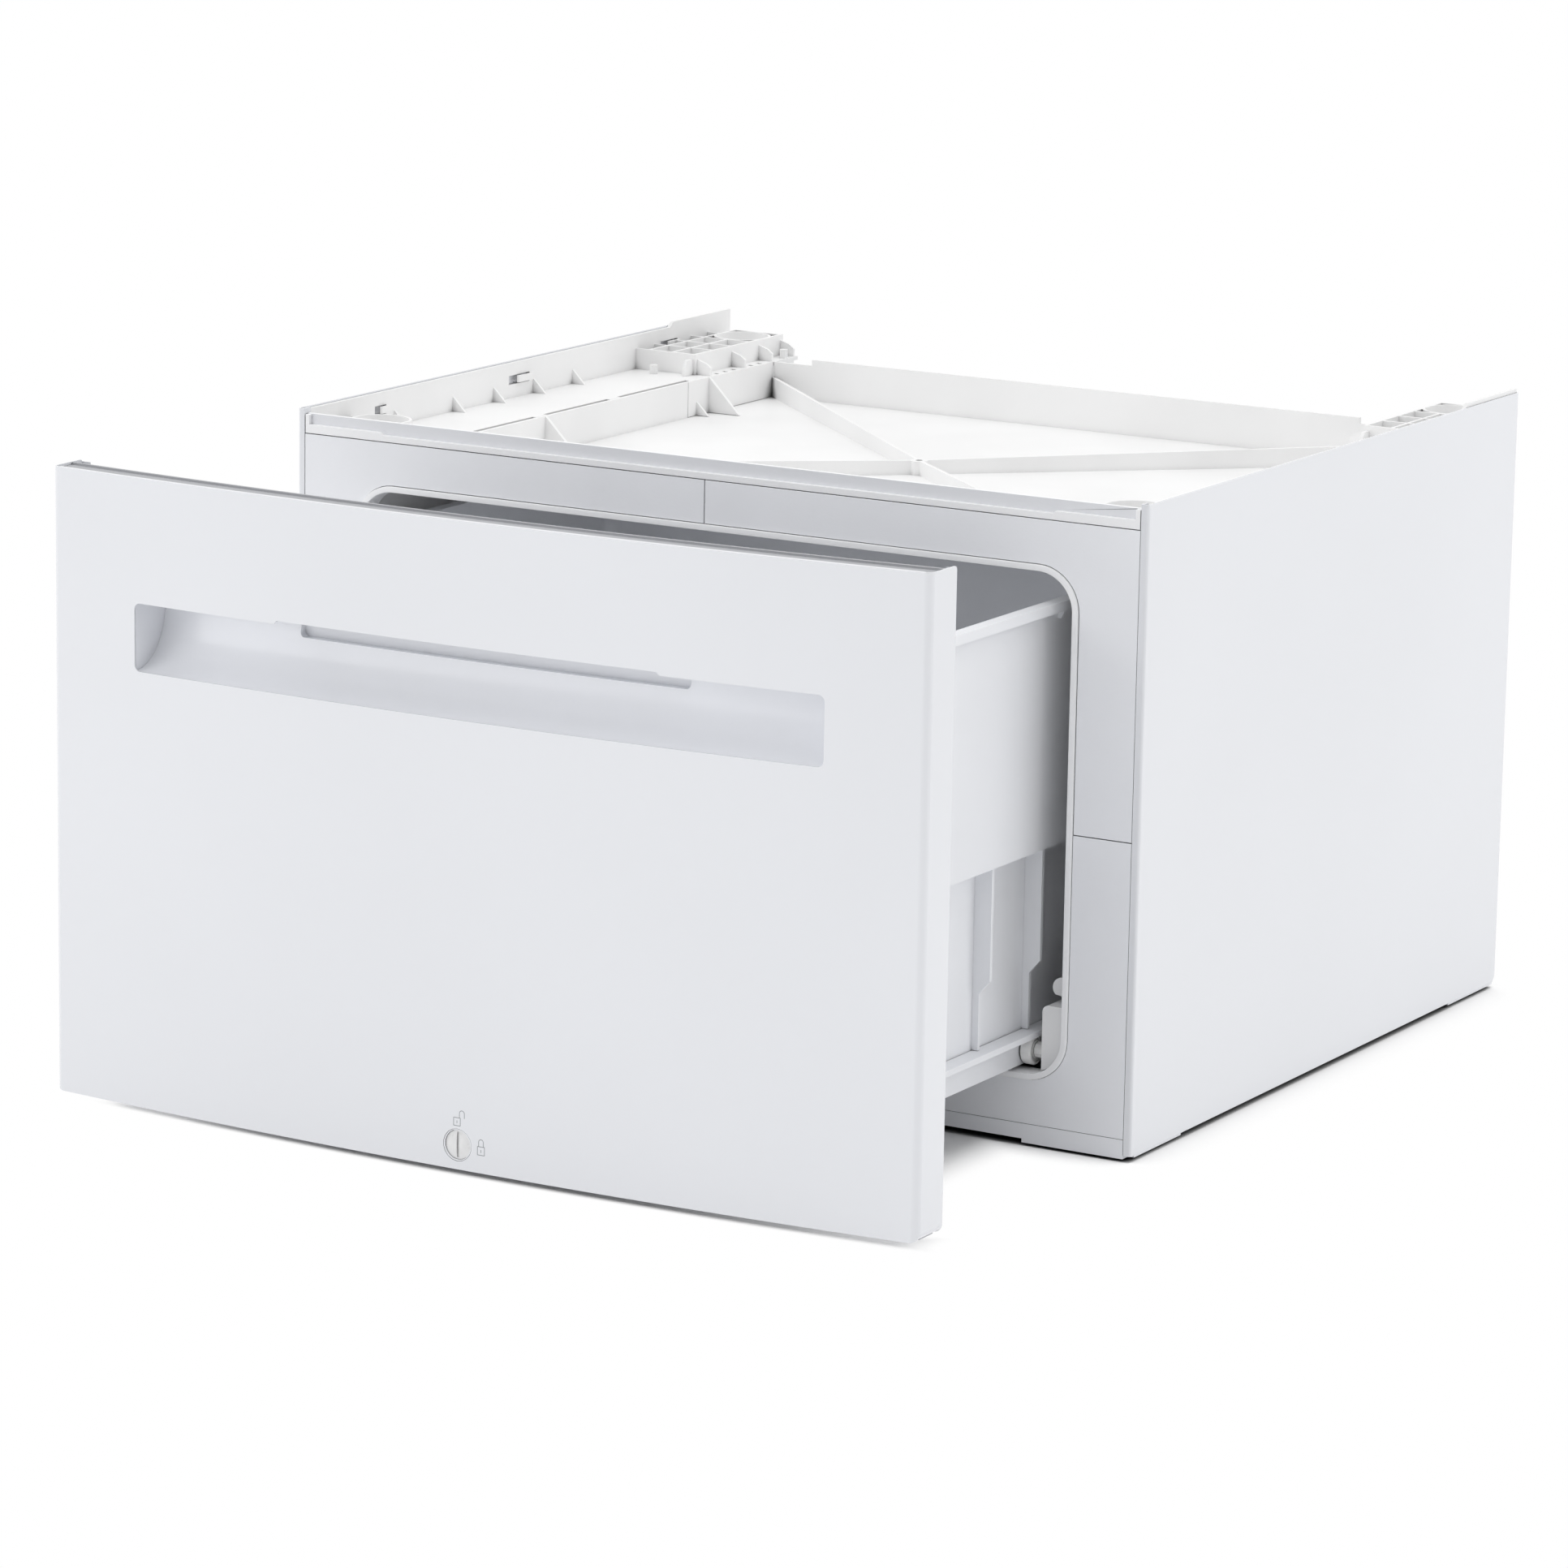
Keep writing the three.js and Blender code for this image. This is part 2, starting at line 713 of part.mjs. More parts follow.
// Section across the right module: cavity wall with its ribs, shelf, outer wall and the shelf's edge.
function moduleSection() {
  const face = cavityWall + wall;
  const points = [
    [cavityWall, moduleBottom], [moduleOuter, moduleBottom],
    [moduleOuter, moduleBottom + rib], [face, moduleBottom + rib],
  ];
  for (let i = 1; i <= cavityRibCount; i += 1) {
    const z = moduleBottom + i * cavityRibPitch;
    points.push([face, z], [moduleOuter, z], [moduleOuter, z + rib], [face, z + rib]);
  }
  points.push(
    [face, shelfUnder], [outerWallInner, shelfUnder],
    [outerWallInner, shelfUnder - skirtDepth], [moduleOuter, shelfUnder - skirtDepth],
    [moduleOuter, panelTop - moduleWallDrop], [outerWallInner, panelTop - moduleWallDrop],
    [outerWallInner, shelfTop], [shelfEdge, shelfTop],
    [shelfEdge, deckTop + fit], [shelfEdge + wall, deckTop + fit],
    [shelfEdge + wall, shelfUnder], [cavityWall, shelfUnder],
    [cavityWall, deckUnder - fit], [cavityWall - deckSeat, deckUnder - fit],
    [cavityWall - deckSeat, deckUnder - fit - rib], [cavityWall, deckUnder - fit - rib],
  );
  return outline(points);
}

function wallGusset(y) {
  const triangle = outline([
    [outerWallInner, shelfTop],
    [outerWallInner, shelfTop + wallGussetHeight],
    [outerWallInner - wallGussetHeight, shelfTop],
  ]);
  return alongY(triangle, [y - rib / 2, y + rib / 2]);
}

function cup(y) {
  return turnedZ(ring(cupRadius, cupOuter, [shelfTop, shelfTop + cupHeight]), [cupX, y, 0]);
}

// The rear block: an open grid of cells in front of the foot cup, stubs to the outer wall beside it.
function gridBlock() {
  const height = [shelfTop, shelfTop + cupHeight];
  const cellsEnd = blockFront + blockCellRows * blockCellPitch;
  const pieces = [
    box([blockInner, outerWallInner], [blockFront, blockFront + rib], height),
    box([blockInner, blockOuter], [blockRear, blockRear + blockRearMargin], height),
    box([blockInner, blockInner + rib], [blockFront, blockRear + rib], height),
    box([blockOuter - rib, blockOuter], [blockFront, blockRear + rib], height),
    box([cupX - rib / 2, cupX + rib / 2], [blockFront, cellsEnd + rib], height),
  ];
  for (let row = 1; row <= blockCellRows; row += 1) {
    const y = blockFront + row * blockCellPitch;
    pieces.push(box([blockInner, outerWallInner], [y, y + rib], height));
  }
  pieces.push(box([cupX + cupRadius + rib / 2, outerWallInner], [rearCupY, rearCupY + rib], height));
  return join(...pieces, cup(rearCupY));
}

function fin(y) {
  const tip = blockInner - finReach;
  const shape = outline([
    [blockInner + rib / 2, shelfTop], [blockInner + rib / 2, shelfTop + finRootHeight],
    [tip + finBend, shelfTop + (finRootHeight + finTipHeight) / 2],
    [tip, shelfTop + finTipHeight], [tip, shelfTop],
  ]);
  return alongY(shape, [y - rib / 2, y + rib / 2]);
}

function forwardFin() {
  const tip = blockFront - finReach;
  const shape = outline([
    [blockFront + rib / 2, shelfTop], [blockFront + rib / 2, shelfTop + finRootHeight],
    [tip + finBend, shelfTop + finRootHeight], [tip, shelfTop + finTipHeight], [tip, shelfTop],
  ]);
  return alongX(shape, [blockInner + rib, blockInner + 2 * rib]);
}

function wallTriangle(size, y) {
  const triangle = outline([
    [deckWallInner, shelfTop], [deckWallInner - size, shelfTop - size], [deckWallInner, shelfTop - size],
  ]);
  return alongY(triangle, [y - wall / 2, y + wall / 2]);
}

// Smaller triangle low on the same wall, standing just clear of the deck floor.
function lowTriangle(y) {
  const foot = deckTop + fit;
  const triangle = outline([
    [deckWallInner, foot + smallGussetSize], [deckWallInner - smallGussetSize, foot], [deckWallInner, foot],
  ]);
  return alongY(triangle, [y - rib / 2, y + rib / 2]);
}

function rearLedge() {
  const end = blockRear + blockRearMargin;
  const plate = box([shelfEdge - ledgeWidth, shelfEdge + wall], [ledgeStart, end], [shelfUnder, shelfTop]);
  const upright = [deckTop + fit, shelfTop];
  const face = box([deckWallInner, deckHalf], [seamY + shadowGap, deckRear - wall - fit], upright);
  const tie = box([deckWallInner, shelfEdge + wall], [ledgeStart, ledgeStart + rib], upright);
  const slots = ledgeSlots.map((y) => box(
    [shelfEdge - ledgeWidth + wall, blockInner],
    [y, y + ledgeSlotWidth],
    [shelfUnder - PAST, shelfTop + PAST],
  ));
  return cut(join(plate, face, tie), ...slots);
}

function rearTab() {
  const start = cabinetDepth - tabLength;
  const end = cabinetDepth - sheet - fit;
  const top = panelTop + tabRise;
  const shape = outline([
    [start - tabRamp, panelTop - moduleWallDrop], [start - tabRamp, panelTop - moduleWallDrop - wall],
    [moduleRear - wall, panelTop - moduleWallDrop - wall], [moduleRear - wall, shelfUnder],
    [end, shelfUnder], [end, top], [start, top],
  ]);
  return alongX(shape, [outerWallInner, moduleOuter]);
}

function sideModule() {
  const body = alongY(moduleSection(), [moduleFrontWall, moduleRear]);
  const frontWall = box(
    [cavityWall, coverHalf - fit],
    [moduleFrontWall, moduleFrontWall + wall],
    [moduleBottom, coverTop],
  );
  const rearWall = box([cavityWall, moduleOuter], [moduleRear - wall, moduleRear], [moduleBottom, shelfTop]);
  const lipRoom = box([coverHalf - fit, half], [0, frontLip + fit], [0, panelTop + PAST]);
  const trimRoom = box([0, cavityWall], [0, behindTrim], [0, trimTop + fit]);
  const windows = windowSpans.map(([y0, y1]) => box(
    [outerWallInner - PAST, moduleOuter + PAST],
    [y0, y1],
    [shelfTop + windowLift, shelfTop + windowLift + windowHeight],
  ));
  const gussets = [wallGusset(cornerGussetY)];
  for (let i = 0; i < wallGussetCount; i += 1) {
    gussets.push(wallGusset(wallGussetStart + i * wallGussetPitch));
  }
  const clips = clipPositions.map((y) => box(
    [deckHalf + fit, shelfEdge + wall],
    [y - clipLength / 2, y + clipLength / 2],
    [shelfUnder, shelfTop],
  ));
  const cupTies = [-1, 1].map((side) => box(
    [cupX + cupRadius - cupWall, outerWallInner],
    [frontCupY + side * cupRadius / 2 - rib / 2, frontCupY + side * cupRadius / 2 + rib / 2],
    [shelfTop, shelfTop + cupHeight - rib],
  ));
  const cupStop = box(
    [shelfEdge, cupX - cupRadius],
    [frontCupY, frontCupY + 2 * cupWall + cupWall * 2],
    [shelfTop, shelfTop + finRootHeight],
  );
  const pegPlaces = [
    [cupX + frontPegInset, blockFront - finReach],
    [shelfEdge - pegRadius, rearCupY + cupRadius / 2],
  ];
  const pegs = pegPlaces.map(([x, y]) =>
    turnedZ(rod(pegRadius, [shelfUnder, shelfTop + pegHeight]), [x, y, 0], TINY));
  return join(
    cut(join(body, frontWall, rearWall), lipRoom, trimRoom, ...windows),
    ...gussets, ...clips, ...cupTies, cupStop, ...pegs,
    cup(frontCupY), gridBlock(), rearLedge(), rearTab(),
    ...finPositions.map(fin), forwardFin(),
    wallTriangle(deckDrop - fit, rearGussetY), lowTriangle(smallGussetY),
  );
}

// ---------- deck: the shallow pan with crossed ribs between the modules ----------

const deckMiddle = (deckFront + wall + deckRear - wall) / 2;

function crossRib(towardsX) {
  const reachX = deckWallInner - fit;
  const reachY = (deckRear - deckFront) / 2 - wall;
  const reach = Math.hypot(reachX, reachY);
  const low = deckTop + crossRibHeight;
  const high = low + crossRibRise;
  const shape = outline([
    [-reach, deckTop - fit], [reach, deckTop - fit], [reach, high], [0, low], [-reach, high],
  ]);
  const geometry = extruded(shape, wall, ARC).rotateX(Math.PI / 2).translate(0, wall / 2, 0);
  geometry.rotateZ(towardsX * Math.atan2(reachY, reachX));
  return solidOf(geometry.translate(0, deckMiddle, 0));
}

function centerDeck() {
  const inner = deckWallInner;
  const rearHalf = deckWallInner - rearWallHalfTrim;
  const floor = box([-cavityWall + fit, cavityWall - fit], [deckFront, deckRear], [deckUnder, deckTop]);
  const sideWalls = both(box([inner, deckHalf], [deckFront, seamY], [deckUnder, shelfTop]));
  const frontWall = box([-deckHalf, deckHalf], [deckFront, deckFront + wall], [deckUnder, railBottom + wall]);
  const rearWall = box([-rearHalf, rearHalf], [deckRear - wall, deckRear], [deckUnder, shelfTop]);
  const raised = box(
    [-rearHalf + rearWallStep, rearHalf - rearWallStep],
    [deckRear - wall, deckRear],
    [shelfTop - wall, shelfTop + rearWallRise],
  );
  const well = box([-rearHalf, rearHalf], [deckFront, deckRear], [deckUnder, shelfTop]);
  const ribs = join(crossRib(1), crossRib(-1)).intersect(well);
  const hub = turnedZ(rod(hubRadius, [deckUnder, deckTop + crossRibHeight]), [0, deckMiddle, 0], TINY);
  const bore = turnedZ(rod(hubBore, [deckTop, deckTop + crossRibHeight + PAST]), [0, deckMiddle, 0], TINY);
  const gussets = both(wallTriangle(deckDrop, deckGussetY));
  return cut(join(floor, sideWalls, frontWall, rearWall, raised, ribs, gussets, hub), bore);
}

// ---------- rails, brackets and guides on the cavity walls ----------

function cabinetRail() {
  const web = cavityWall - fit;
  const tip = web - railChannelDepth;
  const top = channelUnderTop + railChannelWall;
  const section = outline([
    [tip, channelBottom], [web, channelBottom], [web, top], [tip, top], [tip, channelUnderTop],
    [web - railChannelWall, channelUnderTop], [web - railChannelWall, channelBottom + railChannelWall],
    [tip, channelBottom + railChannelWall],
  ]);
  return alongY(section, [railChannelStart, railChannelEnd]);
}

function rollerBracket() {
  const outer = cavityWall - fit;
  const front = new THREE.Shape();
  front.moveTo(bracketInner, bracketBottom);
  front.lineTo(outer, bracketBottom);
  front.lineTo(outer, bracketTop);
  const centre = [bracketInner + bracketCorner, bracketTop - bracketCorner];
  front.absarc(...centre, bracketCorner, Math.PI / 2, Math.PI, false);
  const throughTrim = alongY(roundedRectangle(
    [-trimInnerHalf + fit, trimInnerHalf - fit],
    [trimInnerBottom + fit, trimInnerTop - fit],
    trimRadius - trimWidth - fit,
  ), [0, behindTrim + PAST]);
  const body = join(
    alongY(front, [bracketFront, behindTrim + PAST]).intersect(throughTrim),
    alongY(front, [behindTrim, bracketRear]),
  );
  const foot = box(
    [bracketInner - bracketFoot, bracketInner + PAST],
    [frontAxleY + rollerRadius + fit, bracketRear],
    [bracketBottom, bracketBottom + bracketFootHeight],
  );
  const bore = turnedX(
    rod(axleRadius + turnFit, [bracketInner - PAST, bracketInner + bracketReach / 2]),
    [0, frontAxleY, rollerZ],
    SMALL,
  );
  return cut(join(body, foot), bore);
}

function guideNub() {
  const outer = cavityWall - fit;
  const bottom = bracketTop + guideLift;
  const radius = guideHeight / 2;
  const tip = outer - guideReach + radius;
  const shape = new THREE.Shape();
  shape.moveTo(outer, bottom);
  shape.lineTo(outer, bottom + guideHeight);
  shape.absarc(tip, bottom + radius, radius, Math.PI / 2, 1.25 * Math.PI, false);
  shape.lineTo(tip + radius, bottom);
  return alongY(shape, [behindTrim, behindTrim + guideLength]);
}

// ---------- rollers and axles ----------

// A roller with its bore on the x axis and a pocket for the axle's head on one face.
function roller(width, headSide) {
  const bore = axleRadius + turnFit;
  const pocket = axleHead + turnFit;
  const depth = axleHeadLength + turnFit;
  const edge = rollerRadius - rollerEdge;
  const body = [
    [edge, width], [rollerRadius, width - rollerEdge], [rollerRadius, rollerEdge], [edge, 0],
  ];
  const bored = headSide < 0
    ? [[pocket, 0], [pocket, depth], [bore, depth], [bore, width]]
    : [[bore, 0], [bore, width - depth], [pocket, width - depth], [pocket, width]];
  const profile = [...bored, ...body];
  profile.push(profile[0]);
  return turned(profile.reverse()).rotateZ(-Math.PI / 2);
}

// Fixed axle of the front roller: head inside the roller, collar beside it, shank in the bracket.
function frontAxle() {
  const end = bracketInner + bracketReach / 2 - fit;
  const collar = rollerOuter + fit;
  return turnedX([
    [0, rollerInner], [axleHead, rollerInner], [axleHead, rollerInner + axleHeadLength],
    [axleRadius, rollerInner + axleHeadLength], [axleRadius, collar], [axleCollar, collar],
    [axleCollar, bracketInner - fit], [axleRadius, bracketInner - fit], [axleRadius, end], [0, end],
  ], [0, frontAxleY, rollerZ], SMALL);
}

// Fixed axle of the rear roller: shank in the runner's web, collar, then the roller and its head.
function rearAxle() {
  const collarEnd = rearRollerInner - fit;
  const outer = rearRollerInner + rearRollerWidth;
  return turnedX([
    [0, webInner], [axleRadius, webInner], [axleRadius, webOuter + fit], [axleCollar, webOuter + fit],
    [axleCollar, webOuter + fit + axleHeadLength], [axleRadius + 1, webOuter + fit + axleHeadLength],
    [axleRadius + 1, collarEnd], [axleRadius, collarEnd],
    [axleRadius, outer - axleHeadLength], [axleHead, outer - axleHeadLength], [axleHead, outer], [0, outer],
  ], [0, rearAxleY, rearRollerZ], SMALL);
}

// ---------- drawer front ----------

const BOW = 12; // straight pieces across the whole bowed front

function stations([x0, x1]) {
  const count = Math.max(1, Math.ceil((BOW * (x1 - x0)) / frontWidth));
  return Array.from({ length: count + 1 }, (_, i) => x0 + ((x1 - x0) * i) / count);
}

// A bar that follows the bow: its depths are measured from the face.
function bowedBar(x, [d0, d1], z) {
  const front = stations(x).map((at) => [at, faceAt(at) + d0]);
  const back = stations(x).map((at) => [at, faceAt(at) + d1]).reverse();
  return alongZ(outline([...front, ...back]), z);
}

// A section drawn in depth and z, swept along the bow.
function bowedSweep(shape, [x0, x1]) {
  const steps = stations([x0, x1]).length - 1;
  const geometry = new THREE.ExtrudeGeometry(shape, { depth: x1 - x0, steps, bevelEnabled: false });
  geometry.applyMatrix4(yzToX).translate(x0, 0, 0);
  const position = geometry.attributes.position;
  for (let i = 0; i < position.count; i += 1) {
    position.setY(i, position.getY(i) + faceAt(position.getX(i)));
  }
  return solidOf(geometry);
}

function drawerFrontSkin() {
  const outer = frontHalf;
  const across = stations([-outer + faceRadius, outer - faceRadius]);
  const cornerY = faceEnds + faceRadius;
  const inner = faceRadius - sheet;
  const plan = new THREE.Shape();
  plan.moveTo(-outer + flangeReturn, flangeEnd);
  plan.lineTo(-outer, flangeEnd);
  plan.absarc(-outer + faceRadius, cornerY, faceRadius, Math.PI, 1.5 * Math.PI, false);
  across.slice(1, -1).forEach((x) => plan.lineTo(x, faceAt(x)));
  plan.absarc(outer - faceRadius, cornerY, faceRadius, -Math.PI / 2, 0, false);
  plan.lineTo(outer, flangeEnd);
  plan.lineTo(outer - flangeReturn, flangeEnd);
  plan.lineTo(outer - flangeReturn, flangeEnd - sheet);
  plan.lineTo(outer - sheet, flangeEnd - sheet);
  plan.absarc(outer - faceRadius, cornerY, inner, 0, -Math.PI / 2, true);
  across.slice(1, -1).reverse().forEach((x) => plan.lineTo(x, faceAt(x) + sheet));
  plan.absarc(-outer + faceRadius, cornerY, inner, -Math.PI / 2, -Math.PI, true);
  plan.lineTo(-outer + sheet, flangeEnd - sheet);
  plan.lineTo(-outer + flangeReturn, flangeEnd - sheet);
  const pan = alongZ(plan, [frontBottom, frontTop]);
  const inside = [-outer + faceRadius, outer - faceRadius];
  const hem = bowedBar(inside, [sheet / 2, hemDepth], [frontTop - sheet, frontTop]);
  const sill = bowedBar(inside, [sheet / 2, bottomReturn], [frontBottom, frontBottom + sheet]);
  const side = new THREE.Shape();
  side.moveTo(faceY - PAST, frontBottom);
  side.lineTo(flangeEnd + PAST, frontBottom);
  side.lineTo(flangeEnd + PAST, frontTop - flangeCorner);
  side.absarc(flangeEnd - flangeCorner, frontTop - flangeCorner, flangeCorner, 0, Math.PI / 2, false);
  side.lineTo(faceY - PAST, frontTop);
  const fromSide = alongX(side, [-outer - PAST, outer + PAST]);
  const fromFront = alongY(
    roundedRectangle([-outer, outer], [frontBottom, frontTop + faceRadius], faceRadius),
    [faceY - PAST, flangeEnd + PAST],
    BEND,
  );
  const shell = join(pan, hem, sill).intersect(fromSide).intersect(fromFront);
  const through = [faceY - PAST, faceAt(scoopHalf) + hemDepth];
  const keyhole = turnedY(rod(bushOuter + turnFit, [faceY - PAST, faceY + linerFront]), [lockX, 0, lockZ]);
  return cut(shell, alongY(scoopMouth(), through, BEND), keyhole);
}

// The mouth of the scoop, raised in the middle over the finger slot.
function scoopMouth() {
  const top = scoopBottom + scoopHeight;
  const r = scoopCorner;
  const shape = new THREE.Shape();
  shape.moveTo(-scoopHalf + r, scoopBottom);
  shape.absarc(scoopHalf - r, scoopBottom + r, r, -Math.PI / 2, 0, false);
  shape.absarc(scoopHalf - r, top - r, r, 0, Math.PI / 2, false);
  shape.lineTo(browHalf, top);
  shape.lineTo(browHalf - browSlope, top + browRise);
  shape.lineTo(-browHalf + browSlope, top + browRise);
  shape.lineTo(-browHalf, top);
  shape.absarc(-scoopHalf + r, top - r, r, Math.PI / 2, Math.PI, false);
  shape.absarc(-scoopHalf + r, scoopBottom + r, r, Math.PI, 1.5 * Math.PI, false);
  return shape;
}

// Quarter-ellipse section of the scoop: level at its lower lip, upright at its deepest line.
function scoopSection(grow, start) {
  const points = [[start, scoopBottom - grow]];
  const depth = scoopDepth + grow - linerFront;
  const height = scoopHeight + grow;
  for (let i = 0; i <= scoopSteps; i += 1) {
    const turn = (i / scoopSteps) * (Math.PI / 2);
    points.push([linerFront + depth * Math.sin(turn), scoopBottom - grow + height * (1 - Math.cos(turn))]);
  }
  const top = scoopBottom + scoopHeight + grow;
  points.push([linerFront + depth, top], [start, top]);
  return outline(points.filter(([d, z], i) => i === 0 || d !== points[i - 1][0] || z !== points[i - 1][1]));
}

function handleScoop() {
  const top = scoopBottom + scoopHeight;
  const sill = scoopBottom + fingerSill;
  const ceiling = top + fingerRise;
  const bodyHalf = scoopHalf + scoopWall;
  const body = bowedSweep(scoopSection(scoopWall, linerFront), [-bodyHalf, bodyHalf]);
  const hollow = bowedSweep(scoopSection(0, linerFront - PAST), [-scoopHalf, scoopHalf]);
  const pocketHalf = fingerHalf + scoopWall;
  const pocket = bowedBar(
    [-pocketHalf, pocketHalf],
    [fingerFront - scoopWall, fingerBack + scoopWall],
    [sill - scoopWall, ceiling + scoopWall],
  );
  const browShell = bowedBar(
    [-pocketHalf, pocketHalf],
    [linerFront, fingerFront],
    [top, top + browRise + scoopWall],
  );
  const flange = bowedBar(
    [-scoopHalf - scoopFlange, scoopHalf + scoopFlange],
    [linerFront, linerFront + scoopWall],
    [scoopBottom - scoopFlange, ceiling + scoopFlange],
  );
  const finger = [-fingerHalf, fingerHalf];
  const mouth = roundedRectangle(finger, [sill, ceiling], fingerCorner);
  const slot = alongY(mouth, [faceY, flangeEnd + scoopDepth], BEND);
  const slotReach = bowedBar(finger, [scoopDepth / 2, fingerBack], [sill, ceiling]);
  const above = bowedBar(finger, [fingerFront, fingerBack], [top - scoopWall, ceiling]);
  const brow = bowedBar(finger, [linerFront - PAST, fingerFront + PAST], [top - scoopWall, top + browRise]);
  return cut(join(body, pocket, browShell, flange), hollow, slotReach.intersect(slot), above, brow);
}

function drawerFrontLiner() {
  const outer = frontHalf - sheet - fit;
  const bottom = frontBottom + sheet + fit;
  const top = frontTop - linerTopDrop;
  const floor = top - linerChannel;
  const corner = faceRadius - sheet;
  const all = [-outer, outer];
  const block = bowedBar(all, [linerFront, linerRear], [bottom, top]);
  const channel = bowedBar(
    [-outer - PAST, outer + PAST],
    [linerFront - PAST, linerRear - rib],
    [floor, top + PAST],
  );
  const bayCount = Math.round(frontWidth / linerRibPitch);
  const bayPitch = (2 * outer - rib) / bayCount;
  const bays = Array.from({ length: bayCount }, (_, i) => {
    const x = -outer + rib + i * bayPitch;
    const depth = [linerFront - PAST, linerRear - rib];
    return bowedBar([x, x + bayPitch - rib], depth, [bottom + rib, floor - rib]);
  });
  const windowHalf = scoopHalf + scoopFlange + fit;
  const window = bowedBar(
    [-windowHalf, windowHalf],
    [linerFront - PAST, linerRear + PAST],
    [scoopBottom - scoopFlange - fit, scoopBottom + scoopHeight + fingerRise + scoopFlange + fit],
  );
  const corners = both(box([outer - corner, frontHalf], [faceY, faceEnds + faceRadius], [0, frontTop]));
  const holder = turnedY(
    rod(bushOuter + rib + fit, [faceY + linerFront, faceY + linerRear]),
    [lockX, 0, lockZ],
  ).intersect(block);
  const bosses = frontScrewPlaces.map(([, x, z]) =>
    turnedY(rod(bossRadius, [faceAt(x) + linerRear - rib, tubFront - fit]), [x, 0, z], SMALL));
  const shell = join(cut(block, channel, ...bays), holder, ...bosses);
  const bushBore = turnedY(rod(bushOuter + fit, [faceY, faceEnds + linerRear]), [lockX, 0, lockZ]);
  return cut(shell, window, corners, bushBore, ...frontScrewHoles([tubFront - screwLength, tubFront]));
}

const frontScrewPlaces = [
  ['lower_left', -frontScrewX, frontScrewLow],
  ['lower_right', frontScrewX, frontScrewLow],
  ['upper_left', -frontScrewX, frontScrewHigh],
  ['upper_right', frontScrewX, frontScrewHigh],
];

function frontScrewHoles(span) {
  return frontScrewPlaces.map(([, x, z]) => turnedY(rod(screwRadius + turnFit, span), [x, 0, z], SMALL));
}

// ---------- lock ----------

const bushInner = knobRadius + turnFit;
const bushOuter = bushInner + bushWall;
const knobFront = faceY + knobRecess;
const knobBack = knobFront + knobHeight;
const bushEnd = faceY + linerRear + fit + rib;
const boltFront = coverThickness + fit + strikeThickness + boltGap;

function boltSlot(span) {
  const shape = roundedRectangle(
    [lockX - boltWidth / 2 - boltGap, lockX + boltWidth / 2 + boltGap],
    [lockZ - boltHalf - boltGap, lockZ + boltHalf + boltGap],
    boltWidth / 4,
  );
  return alongY(shape, span, SLOT);
}

function lockBush() {
  const shoulder = knobBack + turnFit;
  const bore = shaftRadius + turnFit;
  const grip = bushEnd - rib;
  return turnedY([
    [bore, shoulder], [bushInner, shoulder], [bushInner, faceY + turnFit], [bushOuter, faceY + turnFit],
    [bushOuter, grip], [bushOuter + bushFlange, grip],
    [bushOuter + bushFlange, bushEnd], [bore, bushEnd], [bore, shoulder],
  ], [lockX, 0, lockZ]);
}

// The knob turns about its own y axis: a low dome with a coin slot across it.
function lockKnob() {
  const dome = turned([
    [0, knobFront], [knobShoulder, knobFront + knobShoulderDrop], [knobRadius, knobFront + knobDome],
    [knobRadius, knobBack], [0, knobBack],
  ]);
  const slot = box(
    [-coinSlotWidth / 2, coinSlotWidth / 2],
    [knobFront - PAST, knobFront + coinSlotDepth],
    [-coinSlotHalf, coinSlotHalf],
  );
  return cut(solidOf(dome), slot);
}

function lockShaft() {
  const start = knobBack + fit;
  const shaft = turnedY(rod(shaftRadius, [start, boltFront + boltThickness]), [0, 0, 0], SMALL);
  const bolt = alongY(
    roundedRectangle([-boltWidth / 2, boltWidth / 2], [-boltHalf, boltHalf], boltWidth / 4),
    [boltFront, boltFront + boltThickness],
    SLOT,
  );
  return join(shaft, bolt);
}

function lockClip() {
  const start = bushEnd + fit;
  return turnedY(ring(shaftRadius + turnFit, clipRadius, [start, start + clipThickness]), [0, 0, 0], SMALL);
}

function lockStrike() {
  const y = [coverThickness + fit, coverThickness + fit + strikeThickness];
  const plate = box(
    [lockX - strikeHalfWidth, lockX + strikeHalfWidth],
    y,
    [coverBottom, lockZ + boltHalf + 2 * boltGap + strikeHalfWidth / 4],
  );
  return cut(plate, boltSlot([0, y[1] + PAST]));
}

// ---------- drawer tub and runners ----------

function tubBody(inset, [x, zLow, zHigh], front) {
  const plan = roundedRectangle([-x + inset, x - inset], [front + inset, tubRear - inset], tubCorner - inset);
  return alongZ(plan, [zLow, zHigh], BEND);
}

// The three stacked parts of the tub: narrow below, wide above, stepped back behind the scoop.
function tubStack(inset, lift) {
  const knee = tubKneeHeight - lift;
  return join(
    tubBody(inset, [tubLowerHalf, tubBottom + lift, tubStepHeight + wall], tubFront),
    tubBody(inset, [tubHalf, tubStepHeight + lift, knee], tubFront),
    tubBody(inset, [tubHalf, tubStepHeight + lift, tubTop + (lift > 0 ? PAST : 0)], tubFrontUpper),
  );
}

function tubRim() {
  const plan = (grow) => roundedRectangle(
    [-tubHalf - grow, tubHalf + grow],
    [tubFrontUpper - grow, tubRear + grow],
    tubCorner + grow,
  );
  const outer = alongZ(plan(rimReach), [tubTop - rimHeight, tubTop], BEND);
  const under = alongZ(plan(rimReach - rimWall), [tubTop - rimHeight - PAST, tubTop - rimWall], BEND);
  return cut(outer, under);
}

